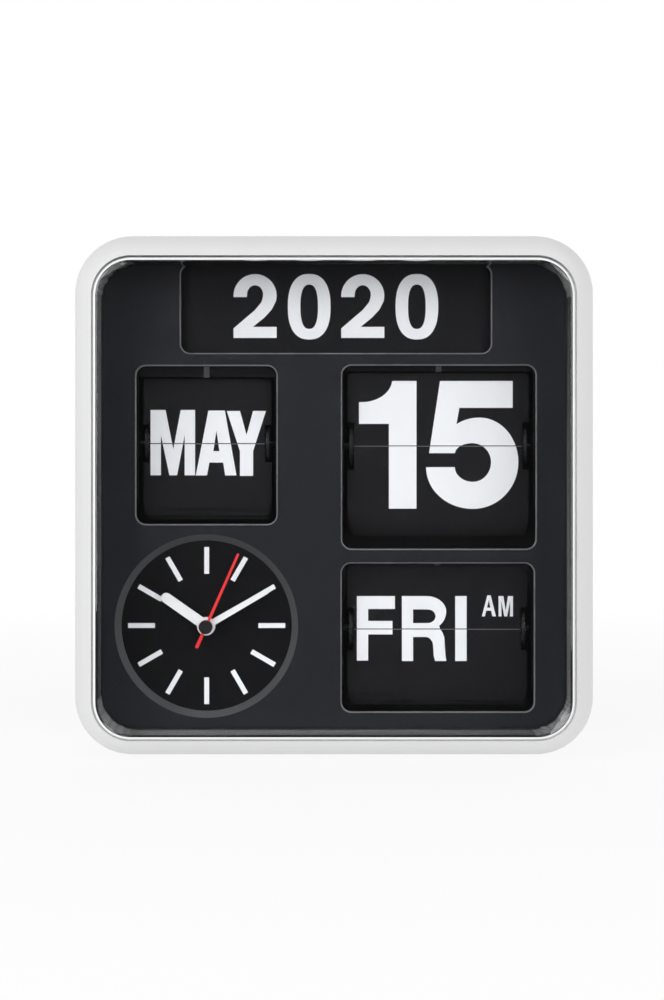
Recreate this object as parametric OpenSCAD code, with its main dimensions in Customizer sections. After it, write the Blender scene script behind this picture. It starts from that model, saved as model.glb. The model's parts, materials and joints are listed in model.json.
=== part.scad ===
// Calendar flip clock: a white case with a clear display cover, three split-leaf units
// (month, date and day), a year scroll and a quartz dial.
// Millimetres. +Z is up, the display faces -Y, and the origin is under the middle of the case.
// A depth is measured backwards from the front of the clear cover.

/* [Case] */
// Width of the case
case_w = 240; // [230:1:260]
// Height of the case
case_h = 240; // [236:1:260]
// Depth from the clear cover's front to the rear rim
case_d = 98; // [96:1:120]
// Outer corner radius of the case
case_r = 27; // [24:1:30]
// Wall of the case
case_wall = 2.6; // [2:0.1:3.2]
// Depth over which the front edge rounds out to the full width
pillow_d = 33; // [28:1:33]
// Breadth of the rounded front edge
pillow_w = 17; // [16:0.5:19]
// Breadth of the white rim beside the display opening
rim_w = 10.25; // [10:0.05:13]
// Corner radius of the display opening
opening_r = 18; // [16:0.5:20]
// Drop of the display's middle below the middle of the case
display_drop = 0.85; // [-1:0.05:2]
// Wall that lines the display opening
lining_t = 2.2; // [1.8:0.1:2.4]

/* [Clear cover] */
// Gap between the clear cover and the opening
cover_gap = 0.95; // [0.5:0.05:1.5]
// Wall of the clear cover
cover_t = 1.6; // [1.4:0.1:3]
// Rounding of the cover's front edge
cover_fillet = 2.5; // [2.2:0.1:3]
// Breadth of the flange that traps the cover
flange_w = 2.2; // [1.5:0.1:2.3]
// Thickness of that flange
flange_t = 2; // [1.2:0.1:2.2]

/* [Faceplate] */
// Depth of the faceplate's front
cover_d = 36; // [35.5:0.5:40]
// Thickness of the faceplate
face_t = 2.5; // [2:0.1:3]
// Chamfer round the windows
window_chamfer = 0.6; // [0.3:0.1:1]
// Corner radius of the windows
window_r = 4.4; // [3:0.1:6]
// Room beside the leaves in a window
window_side = 2.5; // [2:0.1:3]

/* [Month unit] */
// Middle of the month leaves across the clock
month_x = -59.5; // [-61:0.5:-58]
// Height of the month leaves' split line
month_z = 143.8; // [142:0.1:145]
// Width of a month leaf
month_w = 60.3; // [56:0.1:62]
// Height of half the month display
month_h = 30.5; // [28:0.1:31]
// Number of month leaves
month_n = 12; // [12:1:12]
// Radius at which the month leaves hang on their spool
month_groove = 7.2; // [6.8:0.1:8]
// Window edge above the month leaves
month_top = 5.7; // [4:0.1:6]
// Window edge below the month leaves
month_foot = 7; // [5:0.1:8]

/* [Date unit] */
// Middle of the date leaves across the clock
date_x = 48.9; // [48:0.1:50]
// Height of the date leaves' split line
date_z = 142.7; // [141:0.1:143]
// Width of a date leaf
date_w = 85.2; // [80:0.1:86]
// Height of half the date display
date_h = 34.4; // [31:0.1:35]
// Number of date leaves
date_n = 31; // [31:1:31]
// Radius at which the date leaves hang on their spool
date_groove = 9.6; // [9:0.1:10]
// Window edge above the date leaves
date_top = 3.1; // [2.5:0.1:4]
// Window edge below the date leaves
date_foot = 13.5; // [10:0.1:14]

/* [Day unit] */
// Middle of the day leaves across the clock
day_x = 48.4; // [48:0.1:50]
// Height of the day leaves' split line
day_z = 56.7; // [55:0.1:58]
// Width of a day leaf
day_w = 84.6; // [80:0.1:86]
// Height of half the day display
day_h = 30; // [28:0.1:31]
// Number of day leaves, two for each day of the week
day_n = 14; // [14:1:14]
// Radius at which the day leaves hang on their spool
day_groove = 8.5; // [8:0.1:9]
// Window edge above the day leaves
day_top = 1.2; // [1.2:0.1:2]
// Window edge below the day leaves
day_foot = 7.8; // [6:0.1:9]

/* [Leaves and spools] */
// Distance from the faceplate's rear to the leaves
leaf_back = 5.5; // [5:0.1:7]
// Thickness of a leaf
leaf_t = 0.15; // [0.1:0.01:0.18]
// Light gap along the split line
leaf_gap = 0.5; // [0.4:0.05:0.7]
// Corner radius of a leaf
leaf_r = 3; // [2:0.1:4]
// Width of the notch that lets a cheek stand in the leaf's edge
notch_w = 3.1; // [3:0.1:3.6]
// Height of that notch beyond the groove circle
notch_h = 1.6; // [1.4:0.1:2.5]
// Height of the tabs that hinge a leaf on its spool
tab_h = 1; // [0.8:0.05:1.2]
// Thickness of a spool cheek
cheek_t = 1.6; // [1.5:0.1:1.7]
// Breadth of the cheek outside the groove circle
cheek_rim = 1.2; // [1.1:0.1:1.4]
// Radius of the spool's core
core_r = 3.6; // [2.5:0.1:4]
// Radius of the spool axles
axle_r = 1.5; // [1.2:0.1:2]

/* [Gears] */
// Module of every gear
gear_m = 0.85; // [0.8:0.01:0.88]
// Width of a gear
gear_w = 3.5; // [2.5:0.1:4]
// Play cut from each tooth
gear_play = 0.16; // [0.12:0.01:0.2]
// Teeth of a drive pinion
pinion_n = 16; // [16:1:18]
// Teeth of the month spool's gear
month_teeth = 24; // [24:1:24]
// Teeth of the month setting wheel
month_set = 41; // [40:1:42]
// Teeth of the date spool's gear
date_teeth = 31; // [31:1:31]
// Teeth of the date setting wheel
date_set = 34; // [33:1:35]
// Teeth of the day spool's gear
day_teeth = 28; // [28:1:28]
// Teeth of the day setting wheel
day_set = 37; // [36:1:38]
// Teeth of the year spool's gear
year_teeth = 24; // [24:1:24]
// Teeth of the year setting wheel
year_set = 23; // [22:1:24]
// Radius of the stub that carries a setting wheel
stub_r = 2; // [1.5:0.1:2.5]

/* [Frames] */
// Thickness of a frame's side plates
plate_t = 1.8; // [1.5:0.1:2.2]
// Room between the leaves and a side plate
plate_gap = 1.7; // [1.2:0.1:2]
// Depth of a frame's bridge behind the faceplate
bridge_d = 2.7; // [2:0.1:2.8]
// Breadth of a frame's feet
foot_w = 7; // [6:0.1:7.5]
// Thickness of a frame's feet
foot_t = 2; // [1.6:0.1:2.5]

/* [Year scroll] */
// Middle of the year window across the clock
year_across = 0.9; // [0:0.1:2]
// Width of the year window
year_width = 144.6; // [138:0.1:146]
// Height of the year window's lower edge
year_base = 186.1; // [186:0.1:188]
// Height of the year window
year_height = 40.9; // [36:0.1:41.2]
// Distance from the faceplate's rear to the film
film_back = 3.5; // [3:0.1:4.5]
// Thickness of the film
film_t = 0.25; // [0.15:0.01:0.35]
// Radius of the bars that guide the film
guide_r = 3; // [2.5:0.1:3.2]
// Radius of the film wound on a spool
roll_r = 8; // [7:0.1:8.5]
// Depth of the film spools
roll_place = 66; // [64:0.5:68]

/* [Dial] */
// Middle of the dial across the clock
dial_across = -59.5; // [-61:0.1:-58]
// Height of the dial's middle
dial_height = 58.8; // [57:0.1:60]
// Radius of the dial
dial_radius = 39.8; // [37:0.1:41]
// Breadth of the sloped ring round the dial
dial_ring = 3; // [2:0.1:3.5]
// Length of the hour hand
hour_reach = 25.2; // [20:0.1:28]
// Width of the hour hand
hour_w = 4.8; // [3:0.1:5]
// Length of the minute hand
minute_reach = 33.6; // [30:0.1:37]
// Width of the minute hand
minute_w = 3; // [2:0.1:4]
// Length of the second hand
second_reach = 37.1; // [32:0.1:38.5]
// Length of the second hand's tail
second_tail = 10.9; // [8:0.1:13]
// Thickness of a hand
hand_t = 0.6; // [0.4:0.05:0.8]
// Side of the quartz movement
movement_s = 56; // [50:0.5:56]
// Thickness of the quartz movement
movement_t = 16; // [14:0.5:18]
// Drop from the hands' axis to the time knob
knob_drop = 12; // [10:0.5:12.5]
// Radius of the time knob
knob_r = 7; // [6:0.1:8]

/* [Rear] */
// Depth of the rear cover inside the rear rim
rear_inset = 3.7; // [3.5:0.1:5]
// Thickness of the rear cover
rear_t = 2.5; // [2.2:0.1:3]
// Radius of the keyhole's mouth
key_r = 4.5; // [4:0.1:5]
// Width of the keyhole's slot
key_slot = 5; // [4:0.1:5.5]
// Height of the keyhole's mouth
key_height = 202; // [198:0.5:206]
// Diameter of the battery cell
cell_dia = 26.2; // [24:0.1:26.4]
// Length of the battery cell
cell_l = 50; // [48:0.1:50.5]
// Height of the battery
battery_height = 78; // [78:0.1:80]

/* [Fits] */
// Radial play of a turning shaft
run_fit = 0.05; // [0.02:0.01:0.09]
// Gap between pieces that pass each other
clear = 0.3; // [0.25:0.05:0.4]

/* [Hidden] */
$fn = 64;

// Case for which the places and sizes of the display are stated; they follow the case from there
plan_w = 240;
plan_h = 240;
plan_d = 98;
wide = case_w / plan_w;
tall = case_h / plan_h;
deep = case_d / plan_d;
snug = min(wide, tall);
opening_w = case_w - 2 * rim_w;
opening_h = case_h - 2 * rim_w;
display_z = case_h / 2 - display_drop;
year_x = year_across * wide;
year_w = year_width * wide;
year_z = year_base * tall;
year_h = year_height * tall;
dial_x = dial_across * wide;
dial_z = dial_height * tall;
dial_r = dial_radius * snug;
hour_l = hour_reach * snug;
minute_l = minute_reach * snug;
second_l = second_reach * snug;
key_z = key_height * tall;
battery_z = battery_height * tall;

// Depths that pieces share
face_depth = cover_d * deep;
roll_depth = roll_place * deep;
face_rear = face_depth + face_t;
leaf_depth = face_rear + leaf_back;
film_depth = face_rear + film_back;
rear_out = case_d - rear_inset;
rear_in = rear_out - rear_t;
function at(d) = d - case_d / 2;

// Each leaf unit as one row of values
month = [month_x, month_z, month_w, month_h, month_n, month_groove, month_teeth, month_set, 1, -1,
         month_top, month_foot];
date = [date_x, date_z, date_w, date_h, date_n, date_groove, date_teeth, date_set, -1, -1,
        date_top, date_foot];
day = [day_x, day_z, day_w, day_h, day_n, day_groove, day_teeth, day_set, -1, 1, day_top, day_foot];
units = [month, date, day];
function mid_x(u) = u[0] * wide;
function mid_z(u) = u[1] * tall;
function leaf_w(u) = u[2] * wide;
function half_h(u) = u[3] * tall;
function leaf_n(u) = u[4];
function groove_r(u) = u[5];
function teeth(u) = u[6];
function set_teeth(u) = u[7];
// Side of the unit that carries the gear, and the way to its drive pinion
function gear_side(u) = u[8];
function pinion_way(u) = u[9];
function window_top(u) = mid_z(u) + half_h(u) + u[10] * tall;
function window_foot(u) = mid_z(u) - half_h(u) - u[11] * tall;

// Leaf geometry: the standing and the hanging leaf hinge half a pitch above and below the axis
function half_pitch(u) = 180 / leaf_n(u);
function axis_depth(u) = leaf_depth + groove_r(u) * cos(half_pitch(u));
function axis_y(u) = at(axis_depth(u));
function pivot_rise(u) = groove_r(u) * sin(half_pitch(u));
function overhang(u) = pivot_rise(u) - leaf_gap / 2;
function leaf_reach(u) = half_h(u) - pivot_rise(u);
function leaf_top(u) = mid_z(u) + half_h(u);
function edge_x(u, side) = mid_x(u) + side * leaf_w(u) / 2;
function plate_in(u, side) = edge_x(u, side) + side * plate_gap;
function plate_out(u, side) = plate_in(u, side) + side * plate_t;

// Gears
gear_gap = 1.2;
gear_addendum = 0.8 * gear_m;
gear_dedendum = 1.05 * gear_m;
mesh_gap = 0.1;
pressure_angle = 20;
gear_steel = "silver";
function pitch_r(n) = gear_m * n / 2;
function tip_r(n) = pitch_r(n) + gear_addendum;
function gear_x(u) = plate_out(u, gear_side(u)) + gear_side(u) * (gear_gap + gear_w / 2);
function wheel_depth(u) = axis_depth(u) + pitch_r(teeth(u)) + pitch_r(set_teeth(u)) + mesh_gap;
function pinion_z(u) = mid_z(u) + pinion_way(u) * (pitch_r(teeth(u)) + pitch_r(pinion_n) + mesh_gap);
// Turn that puts a gap of the second gear on a tooth of the first, in the direction given
function mesh_turn(way, n, n2) = (way * n / 360 - 0.5) * 360 / n2 + way + 180;
function involute(a) = tan(a) - a * PI / 180;
function tooth_half(n, r) =
    let (base = pitch_r(n) * cos(pressure_angle))
    let (a = r > base ? acos(base / r) : 0)
    (PI * gear_m / 2 - gear_play) / (2 * pitch_r(n)) * 180 / PI
        + (involute(pressure_angle) - involute(a)) * 180 / PI;

// Frames
strip_d = 3;
bridge_lap = 1;
bearing_r = 6;
arm_r = 4.6;
foot_drop = 14;
foot_l = 14;
foot_pitch = 8;
function foot_points(u) = [
    for (side = [-1, 1]) for (k = [-1, 1])
        [plate_out(u, side) + side * foot_w / 2, mid_z(u) - foot_drop - foot_l / 2 + k * foot_pitch / 2]
];

// Year scroll
film_side = 2.4;
film_x0 = year_x - year_w / 2 - film_side;
film_x1 = year_x + year_w / 2 + film_side;
film_play = 0.1;
guide_y = at(film_depth) + film_t + film_play + guide_r;
guide_low = year_z - 1.6;
guide_high = year_z + year_h + 1.5;
wrap_r = guide_r + film_play;
roll_high = guide_high + wrap_r - film_play - roll_r;
roll_low = guide_low - wrap_r + film_play + roll_r;
spool_flange = 1.4;
spool_gap = 0.5;
flange_r = roll_r + 2;
year_plate_x0 = film_x0 - spool_gap - spool_flange - clear;
year_plate_x1 = film_x1 + spool_gap + spool_flange + clear;
year_gear_x = year_plate_x0 - plate_t - gear_gap - gear_w / 2;
year_wheel_depth = roll_depth + pitch_r(year_teeth) + pitch_r(year_set) + mesh_gap;
year_foot_z = [guide_low + 10, guide_high - 10];
year_feet = [
    for (z = year_foot_z)
        for (x = [year_plate_x0 - plate_t - foot_w / 2, year_plate_x1 + plate_t + foot_w / 2]) [x, z]
];

// Calendar drive between the leaf units
drive_gap = 4.5;
drive_x0 = gear_x(month) + gear_w / 2 + drive_gap;
drive_x1 = min(gear_x(date), gear_x(day)) - gear_w / 2 - drive_gap;
drive_margin = 9;
drive_z0 = pinion_z(day) - drive_margin;
drive_z1 = max(pinion_z(month), pinion_z(date)) + drive_margin;
drive_d = 66;
drive_rear = drive_d * deep;
drive_ear = 8;
drive_round = 5;
drive_bore = 4;
drive_feet = [
    [(drive_x0 + drive_x1) / 2, drive_z0 - drive_ear / 2],
    [(drive_x0 + drive_x1) / 2, drive_z1 + drive_ear / 2]
];

// Dial and hands
dial_t = 1;
dial_rim = 1.6;
bush_r = 3.2;
hour_tube_r = 2.4;
minute_tube_r = 1.5;
second_pin_r = 0.5;
nut_r = 4.1;
nut_t = 1.5;
boss_r = 4.2;
boss_t = 1.2;
cap_r = 3.2;
cap_l = 3;
dial_front = face_rear;
movement_front = dial_front + dial_t;
movement_rear = movement_front + movement_t;
bush_front = dial_front - nut_t - 0.2;
hour_front = bush_front - 0.4 - boss_t;
minute_front = hour_front - 0.7 - boss_t;
second_front = minute_front - 0.8 - boss_t;
arbor_end = movement_front + 10;
hour_angle = 305;
minute_angle = 60;
second_angle = 24;
knob_shaft_r = 2;
knob_z = dial_z - knob_drop;
knob_t = 2.6;

// Screws
screw_r = 1;
screw_head_r = 2.2;
screw_head_t = 1.4;
screw_bite = 1.6;
hole_play = 0.25;
face_post_r = 3.1;
face_post_x = (opening_w / 2 + lining_t + case_w / 2 - case_wall) / 2;
face_post_drop = 29.75;
face_post_rise = opening_h / 2 - face_post_drop;
face_post_z = [display_z - face_post_rise, display_z, display_z + face_post_rise];
face_post_l = 14;
face_bore_l = 9;
face_screw_l = 6;
rear_bore_l = 12;
rear_screw_l = 9;
face_posts = [for (side = [-1, 1]) for (z = face_post_z) [side * face_post_x, z]];
post_r = 4.5;
post_out = 20.5;
post_start = 62;
case_cx = case_w / 2 - case_r;
case_cz = case_h / 2 - case_r;
rear_posts = [
    for (sx = [-1, 1]) for (sz = [-1, 1])
        [sx * (case_cx + post_out * cos(45)), case_h / 2 + sz * (case_cz + post_out * sin(45))]
];
all_feet = concat(foot_points(month), foot_points(date), foot_points(day), year_feet, drive_feet);

// Battery
holder_t = 1.6;
cell_room = 0.5;
contact_t = 0.4;
holder_in_l = cell_l + 2 * contact_t + 2 * cell_room;
holder_in_h = cell_dia + 2 * cell_room;
holder_front = rear_in - holder_t - cell_dia - 2 * cell_room;
door_ledge = 2;
door_t = 1.3;

// Colours
case_white = "whitesmoke";
plate_black = "#23252a";
leaf_black = "#1b1c20";
frame_grey = "dimgray";
gear_white = "gainsboro";

// Flat shape between two depths, drawn in X and Z
module slab(d0, d1) {
    translate([0, at(d1), 0]) rotate([90, 0, 0]) linear_extrude(d1 - d0) children();
}

// Flat shape across the clock, drawn in Y and Z, from x to x + t
module across(x, t) {
    translate([x, 0, 0]) rotate([90, 0, 90]) linear_extrude(t) children();
}

// Round bar along the depth
module bar_y(x, z, r, d0, d1) {
    translate([x, at(d1), z]) rotate([90, 0, 0]) cylinder(r = r, h = d1 - d0);
}

// Round bar across the clock
module bar_x(x0, x1, y, z, r) {
    translate([min(x0, x1), y, z]) rotate([0, 90, 0]) cylinder(r = r, h = abs(x1 - x0));
}

// Rectangle with round corners about a middle
module round_rect(w, h, r) {
    square([w - 2 * r, h], center = true);
    square([w, h - 2 * r], center = true);
    for (sx = [-1, 1]) for (sz = [-1, 1]) translate([sx * (w / 2 - r), sz * (h / 2 - r)]) circle(r);
}

// Profile carried round a rectangle with round corners; its x runs outwards from the corner
// middles at cx and cz, and its y runs forwards
module frame_sweep(cx, cz, x, z) {
    translate([x, at(0), z]) rotate([90, 0, 0]) {
        for (turn = [0, 180]) rotate([0, 0, turn]) {
            translate([cx, 0, 0]) rotate([90, 0, 0])
                linear_extrude(2 * cz, center = true) children();
            rotate([0, 0, 90]) translate([cz, 0, 0]) rotate([90, 0, 0])
                linear_extrude(2 * cx, center = true) children();
            translate([cx, cz, 0]) rotate_extrude(angle = 90) children();
            translate([-cx, cz, 0]) rotate([0, 0, 90]) rotate_extrude(angle = 90) children();
        }
    }
}

// Window through the faceplate with a chamfered front edge
module window_cut(x, z, w, h) {
    lip = 0.1;
    slope = window_chamfer + lip;
    translate([x, 0, z]) slab(face_depth - lip, face_rear + lip) round_rect(w, h, window_r);
    frame_sweep(w / 2 - window_r, h / 2 - window_r, x, z)
        polygon([
            [window_r - lip, -face_depth + lip],
            [window_r + slope, -face_depth + lip],
            [window_r - lip, -face_depth - slope]
        ]);
}

// Spur gear outline with involute flanks; one tooth points along the first axis
module gear_shape(n) {
    root = pitch_r(n) - gear_dedendum;
    base = max(pitch_r(n) * cos(pressure_angle), root + 0.05);
    tip = tip_r(n);
    radii = [root, base, (base + tip) / 2, tip];
    polygon([
        for (i = [0 : n - 1]) for (k = [0 : 7])
            let (r = radii[k < 4 ? k : 7 - k])
            let (a = 360 * i / n + (k < 4 ? -1 : 1) * tooth_half(n, r))
            [r * cos(a), r * sin(a)]
    ]);
}

// Gear across the clock about an axis, turned by an angle
module gear_at(x, y, z, n, turn) {
    translate([x - gear_w / 2, y, z]) rotate([90, 0, 90])
        linear_extrude(gear_w) rotate(turn) gear_shape(n);
}

// Pan-head screw driven forwards, its head's seat at the depth given
module screw_at(x, z, seat, tip) {
    bar_y(x, z, screw_head_r, seat, seat + screw_head_t);
    bar_y(x, z, screw_r, tip, seat + screw_head_t / 2);
}

// Outer shell of the case: an elliptic front edge, straight sides and a rounded rear rim
module shell_profile() {
    steps = 9;
    foot = case_r - pillow_w;
    inner_w = pillow_w - case_wall;
    inner_d = pillow_d - case_wall;
    reach_in = 3;
    rim = 1;
    a0 = asin(reach_in / pillow_w);
    b0 = asin(reach_in / inner_w);
    polygon(concat(
        [for (i = [0 : steps]) let (a = a0 + (90 - a0) * i / steps)
            [foot + pillow_w * sin(a), -pillow_d * (1 - cos(a))]],
        [[case_r, -case_d + rim], [case_r - rim, -case_d], [case_r - case_wall, -case_d]],
        [for (i = [0 : steps]) let (a = 90 - (90 - b0) * i / steps)
            [foot + inner_w * sin(a), -pillow_d + inner_d * cos(a)]]
    ));
}

module opening_shape(grow) {
    round_rect(opening_w + 2 * grow, opening_h + 2 * grow, opening_r + grow);
}

module casing() {
    lining_start = 4.2;
    lining_slope = 2.8;
    lining_end = face_depth - flange_t - clear;
    spare = 0.5;
    color(case_white) difference() {
        union() {
            frame_sweep(case_cx, case_cz, 0, case_h / 2) shell_profile();
            frame_sweep(opening_w / 2 - opening_r, opening_h / 2 - opening_r, 0, display_z)
                polygon([
                    [opening_r - spare, -lining_start],
                    [opening_r + lining_t, -lining_start - lining_slope],
                    [opening_r + lining_t, -lining_end],
                    [opening_r - spare, -lining_end]
                ]);
            for (p = face_posts) bar_y(p[0], p[1], face_post_r, face_depth - face_post_l, face_depth);
            for (p = rear_posts) bar_y(p[0], p[1], post_r, post_start, rear_in);
        }
        translate([0, 0, display_z]) slab(-1, face_depth) opening_shape(0);
        for (p = face_posts) bar_y(p[0], p[1], screw_r + run_fit, face_depth - face_bore_l, face_depth + 1);
        for (p = rear_posts) bar_y(p[0], p[1], screw_r + run_fit, rear_in - rear_bore_l, rear_in + 1);
    }
}

module front_cover() {
    steps = 6;
    outer_r = opening_r - cover_gap;
    cover_cx = opening_w / 2 - opening_r;
    cover_cz = opening_h / 2 - opening_r;
    inner_r = outer_r - cover_t;
    overlap = 0.5;
    pane_r = outer_r - cover_fillet;
    color("lightcyan", 0.3) union() {
        frame_sweep(cover_cx, cover_cz, 0, display_z)
            polygon(concat(
                [[pane_r - overlap, 0]],
                [for (i = [0 : steps]) let (a = 90 * i / steps)
                    [pane_r + cover_fillet * sin(a), -cover_fillet * (1 - cos(a))]],
                [
                    [outer_r, -face_depth + flange_t],
                    [outer_r + flange_w, -face_depth + flange_t],
                    [outer_r + flange_w, -face_depth],
                    [inner_r, -face_depth],
                    [inner_r, -cover_t],
                    [pane_r - overlap, -cover_t]
                ]
            ));
        translate([0, 0, display_z]) slab(0, cover_t)
            round_rect(2 * (cover_cx + pane_r), 2 * (cover_cz + pane_r), pane_r);
    }
}

module faceplate() {
    edge = case_wall + 2 * clear;
    lip = 0.1;
    dial_slope = dial_ring / face_t;
    color(plate_black) difference() {
        translate([0, 0, case_h / 2]) slab(face_depth, face_rear)
            round_rect(case_w - 2 * edge, case_h - 2 * edge, case_r - edge);
        for (u = units)
            window_cut(
                mid_x(u), (window_top(u) + window_foot(u)) / 2,
                leaf_w(u) + 2 * window_side, window_top(u) - window_foot(u)
            );
        window_cut(year_x, year_z + year_h / 2, year_w, year_h);
        translate([dial_x, at(face_rear + lip), dial_z]) rotate([90, 0, 0])
            cylinder(
                r1 = dial_r - lip * dial_slope, r2 = dial_r + dial_ring + lip * dial_slope,
                h = face_t + 2 * lip
            );
        for (p = face_posts)
            bar_y(p[0], p[1], screw_r + hole_play, face_depth - lip, face_rear + lip);
        for (p = all_feet)
            bar_y(p[0], p[1], screw_r + run_fit, face_rear - screw_bite - lip, face_rear + lip);
    }
}

module face_screws() {
    color("silver") for (p = face_posts) screw_at(p[0], p[1], face_rear, face_depth - face_screw_l);
}

module frame_screws() {
    color("silver")
        for (p = all_feet) screw_at(p[0], p[1], face_rear + foot_t, face_rear - screw_bite);
}

module rear_screws() {
    color("silver") for (p = rear_posts) screw_at(p[0], p[1], rear_out, rear_in - rear_screw_l);
}

// Slot for a setting wheel of n teeth
module wheel_slot(x, z, n, depth) {
    half = sqrt(pow(tip_r(n), 2) - pow(rear_in - depth, 2)) + 4 * clear;
    width = gear_w + 5 * clear;
    translate([x, 0, z]) slab(rear_in - 1, rear_out + 1) square([width, 2 * half], center = true);
}

module rear_cover() {
    edge = case_wall + 2 * clear;
    hole_h = holder_in_h - 1;
    hole_w = holder_in_l - 1;
    key_rise = 9;
    color(plate_black) difference() {
        translate([0, 0, case_h / 2]) slab(rear_in, rear_out)
            round_rect(case_w - 2 * edge, case_h - 2 * edge, case_r - edge);
        for (p = rear_posts) bar_y(p[0], p[1], screw_r + hole_play, rear_in - 1, rear_out + 1);
        for (u = units) wheel_slot(gear_x(u), mid_z(u), set_teeth(u), wheel_depth(u));
        wheel_slot(year_gear_x, roll_low, year_set, year_wheel_depth);
        bar_y(0, key_z, key_r, rear_in - 1, rear_out + 1);
        translate([0, 0, key_z + key_rise / 2]) slab(rear_in - 1, rear_out + 1)
            square([key_slot, key_rise], center = true);
        bar_y(0, key_z + key_rise, key_slot / 2, rear_in - 1, rear_out + 1);
        bar_y(dial_x, knob_z, knob_shaft_r + clear, rear_in - 1, rear_out + 1);
        translate([dial_x, 0, battery_z]) {
            slab(rear_in - 1, rear_out + 1) square([hole_w, hole_h], center = true);
            slab(rear_out - door_t, rear_out + 1)
                square([hole_w + 2 * door_ledge, hole_h + 2 * door_ledge], center = true);
        }
    }
}

module battery_door() {
    grip_w = 1.2;
    grip_t = 0.8;
    hole_h = holder_in_h - 1;
    hole_w = holder_in_l - 1;
    color(plate_black) translate([dial_x, 0, battery_z]) {
        slab(rear_out - door_t, rear_out)
            square([hole_w + 2 * (door_ledge - clear), hole_h + 2 * (door_ledge - clear)], center = true);
        for (k = [-2 : 2]) translate([hole_w / 2 - 8 + 3 * k, 0, 0])
            slab(rear_out, rear_out + grip_t) square([grip_w, hole_h / 2], center = true);
    }
}

module battery_holder() {
    color(plate_black) translate([dial_x, 0, battery_z]) difference() {
        slab(holder_front, rear_in)
            square([holder_in_l + 2 * holder_t, holder_in_h + 2 * holder_t], center = true);
        slab(holder_front + holder_t, rear_in + 1)
            square([holder_in_l, holder_in_h], center = true);
    }
}

module battery_cell() {
    nub_r = 3.2;
    nub_l = 1.8;
    y = at(holder_front + holder_t + cell_room + cell_dia / 2);
    x0 = dial_x - cell_l / 2;
    color("steelblue") {
        bar_x(x0, x0 + cell_l - nub_l, y, battery_z, cell_dia / 2);
        bar_x(x0 + cell_l - nub_l - 1, x0 + cell_l, y, battery_z, nub_r);
    }
}

module battery_contacts() {
    tab = 11;
    y = at(holder_front + holder_t + cell_room + cell_dia / 2);
    color("silver") for (side = [-1, 1])
        translate([dial_x + side * (holder_in_l / 2 - contact_t / 2), y, battery_z])
            cube([contact_t, tab, tab], center = true);
}

module dial() {
    color("#15161a") difference() {
        bar_y(dial_x, dial_z, dial_r + dial_rim, dial_front, dial_front + dial_t);
        bar_y(dial_x, dial_z, bush_r + run_fit, dial_front - 1, dial_front + dial_t + 1);
    }
}

module movement() {
    corner = 4;
    color(plate_black) difference() {
        union() {
            translate([dial_x, 0, dial_z]) slab(movement_front, movement_rear)
                round_rect(movement_s, movement_s, corner);
            bar_y(dial_x, dial_z, bush_r, bush_front, movement_front + 1);
        }
        bar_y(dial_x, dial_z, hour_tube_r + run_fit, bush_front - 1, arbor_end + 1);
        bar_y(dial_x, knob_z, knob_shaft_r + run_fit, movement_rear - 8, movement_rear + 1);
    }
}

module dial_nut() {
    color("#2c2d30") difference() {
        bar_y(dial_x, dial_z, nut_r, dial_front - nut_t, dial_front);
        bar_y(dial_x, dial_z, bush_r + run_fit, dial_front - nut_t - 1, dial_front + 1);
    }
}

// Hand blade from the middle towards its angle, with a round tip
module blade(front, angle, length, w_root, w_tip) {
    translate([dial_x, 0, dial_z]) slab(front, front + hand_t) rotate(-angle) {
        polygon([
            [-w_root / 2, 0], [w_root / 2, 0],
            [w_tip / 2, length - w_tip / 2], [-w_tip / 2, length - w_tip / 2]
        ]);
        translate([0, length - w_tip / 2]) circle(w_tip / 2);
    }
}

module hour_hand() {
    color("white") difference() {
        union() {
            blade(hour_front + clear, hour_angle, hour_l, hour_w, hour_w);
            bar_y(dial_x, dial_z, boss_r, hour_front, hour_front + boss_t);
            bar_y(dial_x, dial_z, hour_tube_r, hour_front, arbor_end);
        }
        bar_y(dial_x, dial_z, minute_tube_r + run_fit, hour_front - 1, arbor_end + 1);
    }
}

module minute_hand() {
    tip_share = 0.8;
    color("white") difference() {
        union() {
            blade(minute_front + clear, minute_angle, minute_l, minute_w, minute_w * tip_share);
            bar_y(dial_x, dial_z, boss_r, minute_front, minute_front + boss_t);
            bar_y(dial_x, dial_z, minute_tube_r, minute_front, arbor_end);
        }
        bar_y(dial_x, dial_z, second_pin_r + run_fit, minute_front - 1, arbor_end + 1);
    }
}

module second_hand() {
    tip_w = 1.1;
    tail_w = 1.6;
    color("red") {
        blade(second_front + clear, second_angle, second_l, (tip_w + tail_w) / 2, tip_w);
        blade(second_front + clear, second_angle + 180, second_tail, (tip_w + tail_w) / 2, tail_w);
        bar_y(dial_x, dial_z, cap_r - clear, second_front, second_front + boss_t);
        bar_y(dial_x, dial_z, second_pin_r, second_front, arbor_end);
    }
}

module second_cap() {
    color("#141518") bar_y(dial_x, dial_z, cap_r, second_front - cap_l, second_front);
}

module time_knob() {
    flutes = 18;
    flute_r = 0.5;
    start = rear_out + clear;
    color("gray") difference() {
        union() {
            bar_y(dial_x, knob_z, knob_shaft_r, movement_rear - 7, start + 1);
            bar_y(dial_x, knob_z, knob_r, start, start + knob_t);
        }
        for (i = [0 : flutes - 1]) let (a = 360 * i / flutes)
            bar_y(dial_x + knob_r * cos(a), knob_z + knob_r * sin(a), flute_r, start - 1, rear_out + 9);
    }
}

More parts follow.
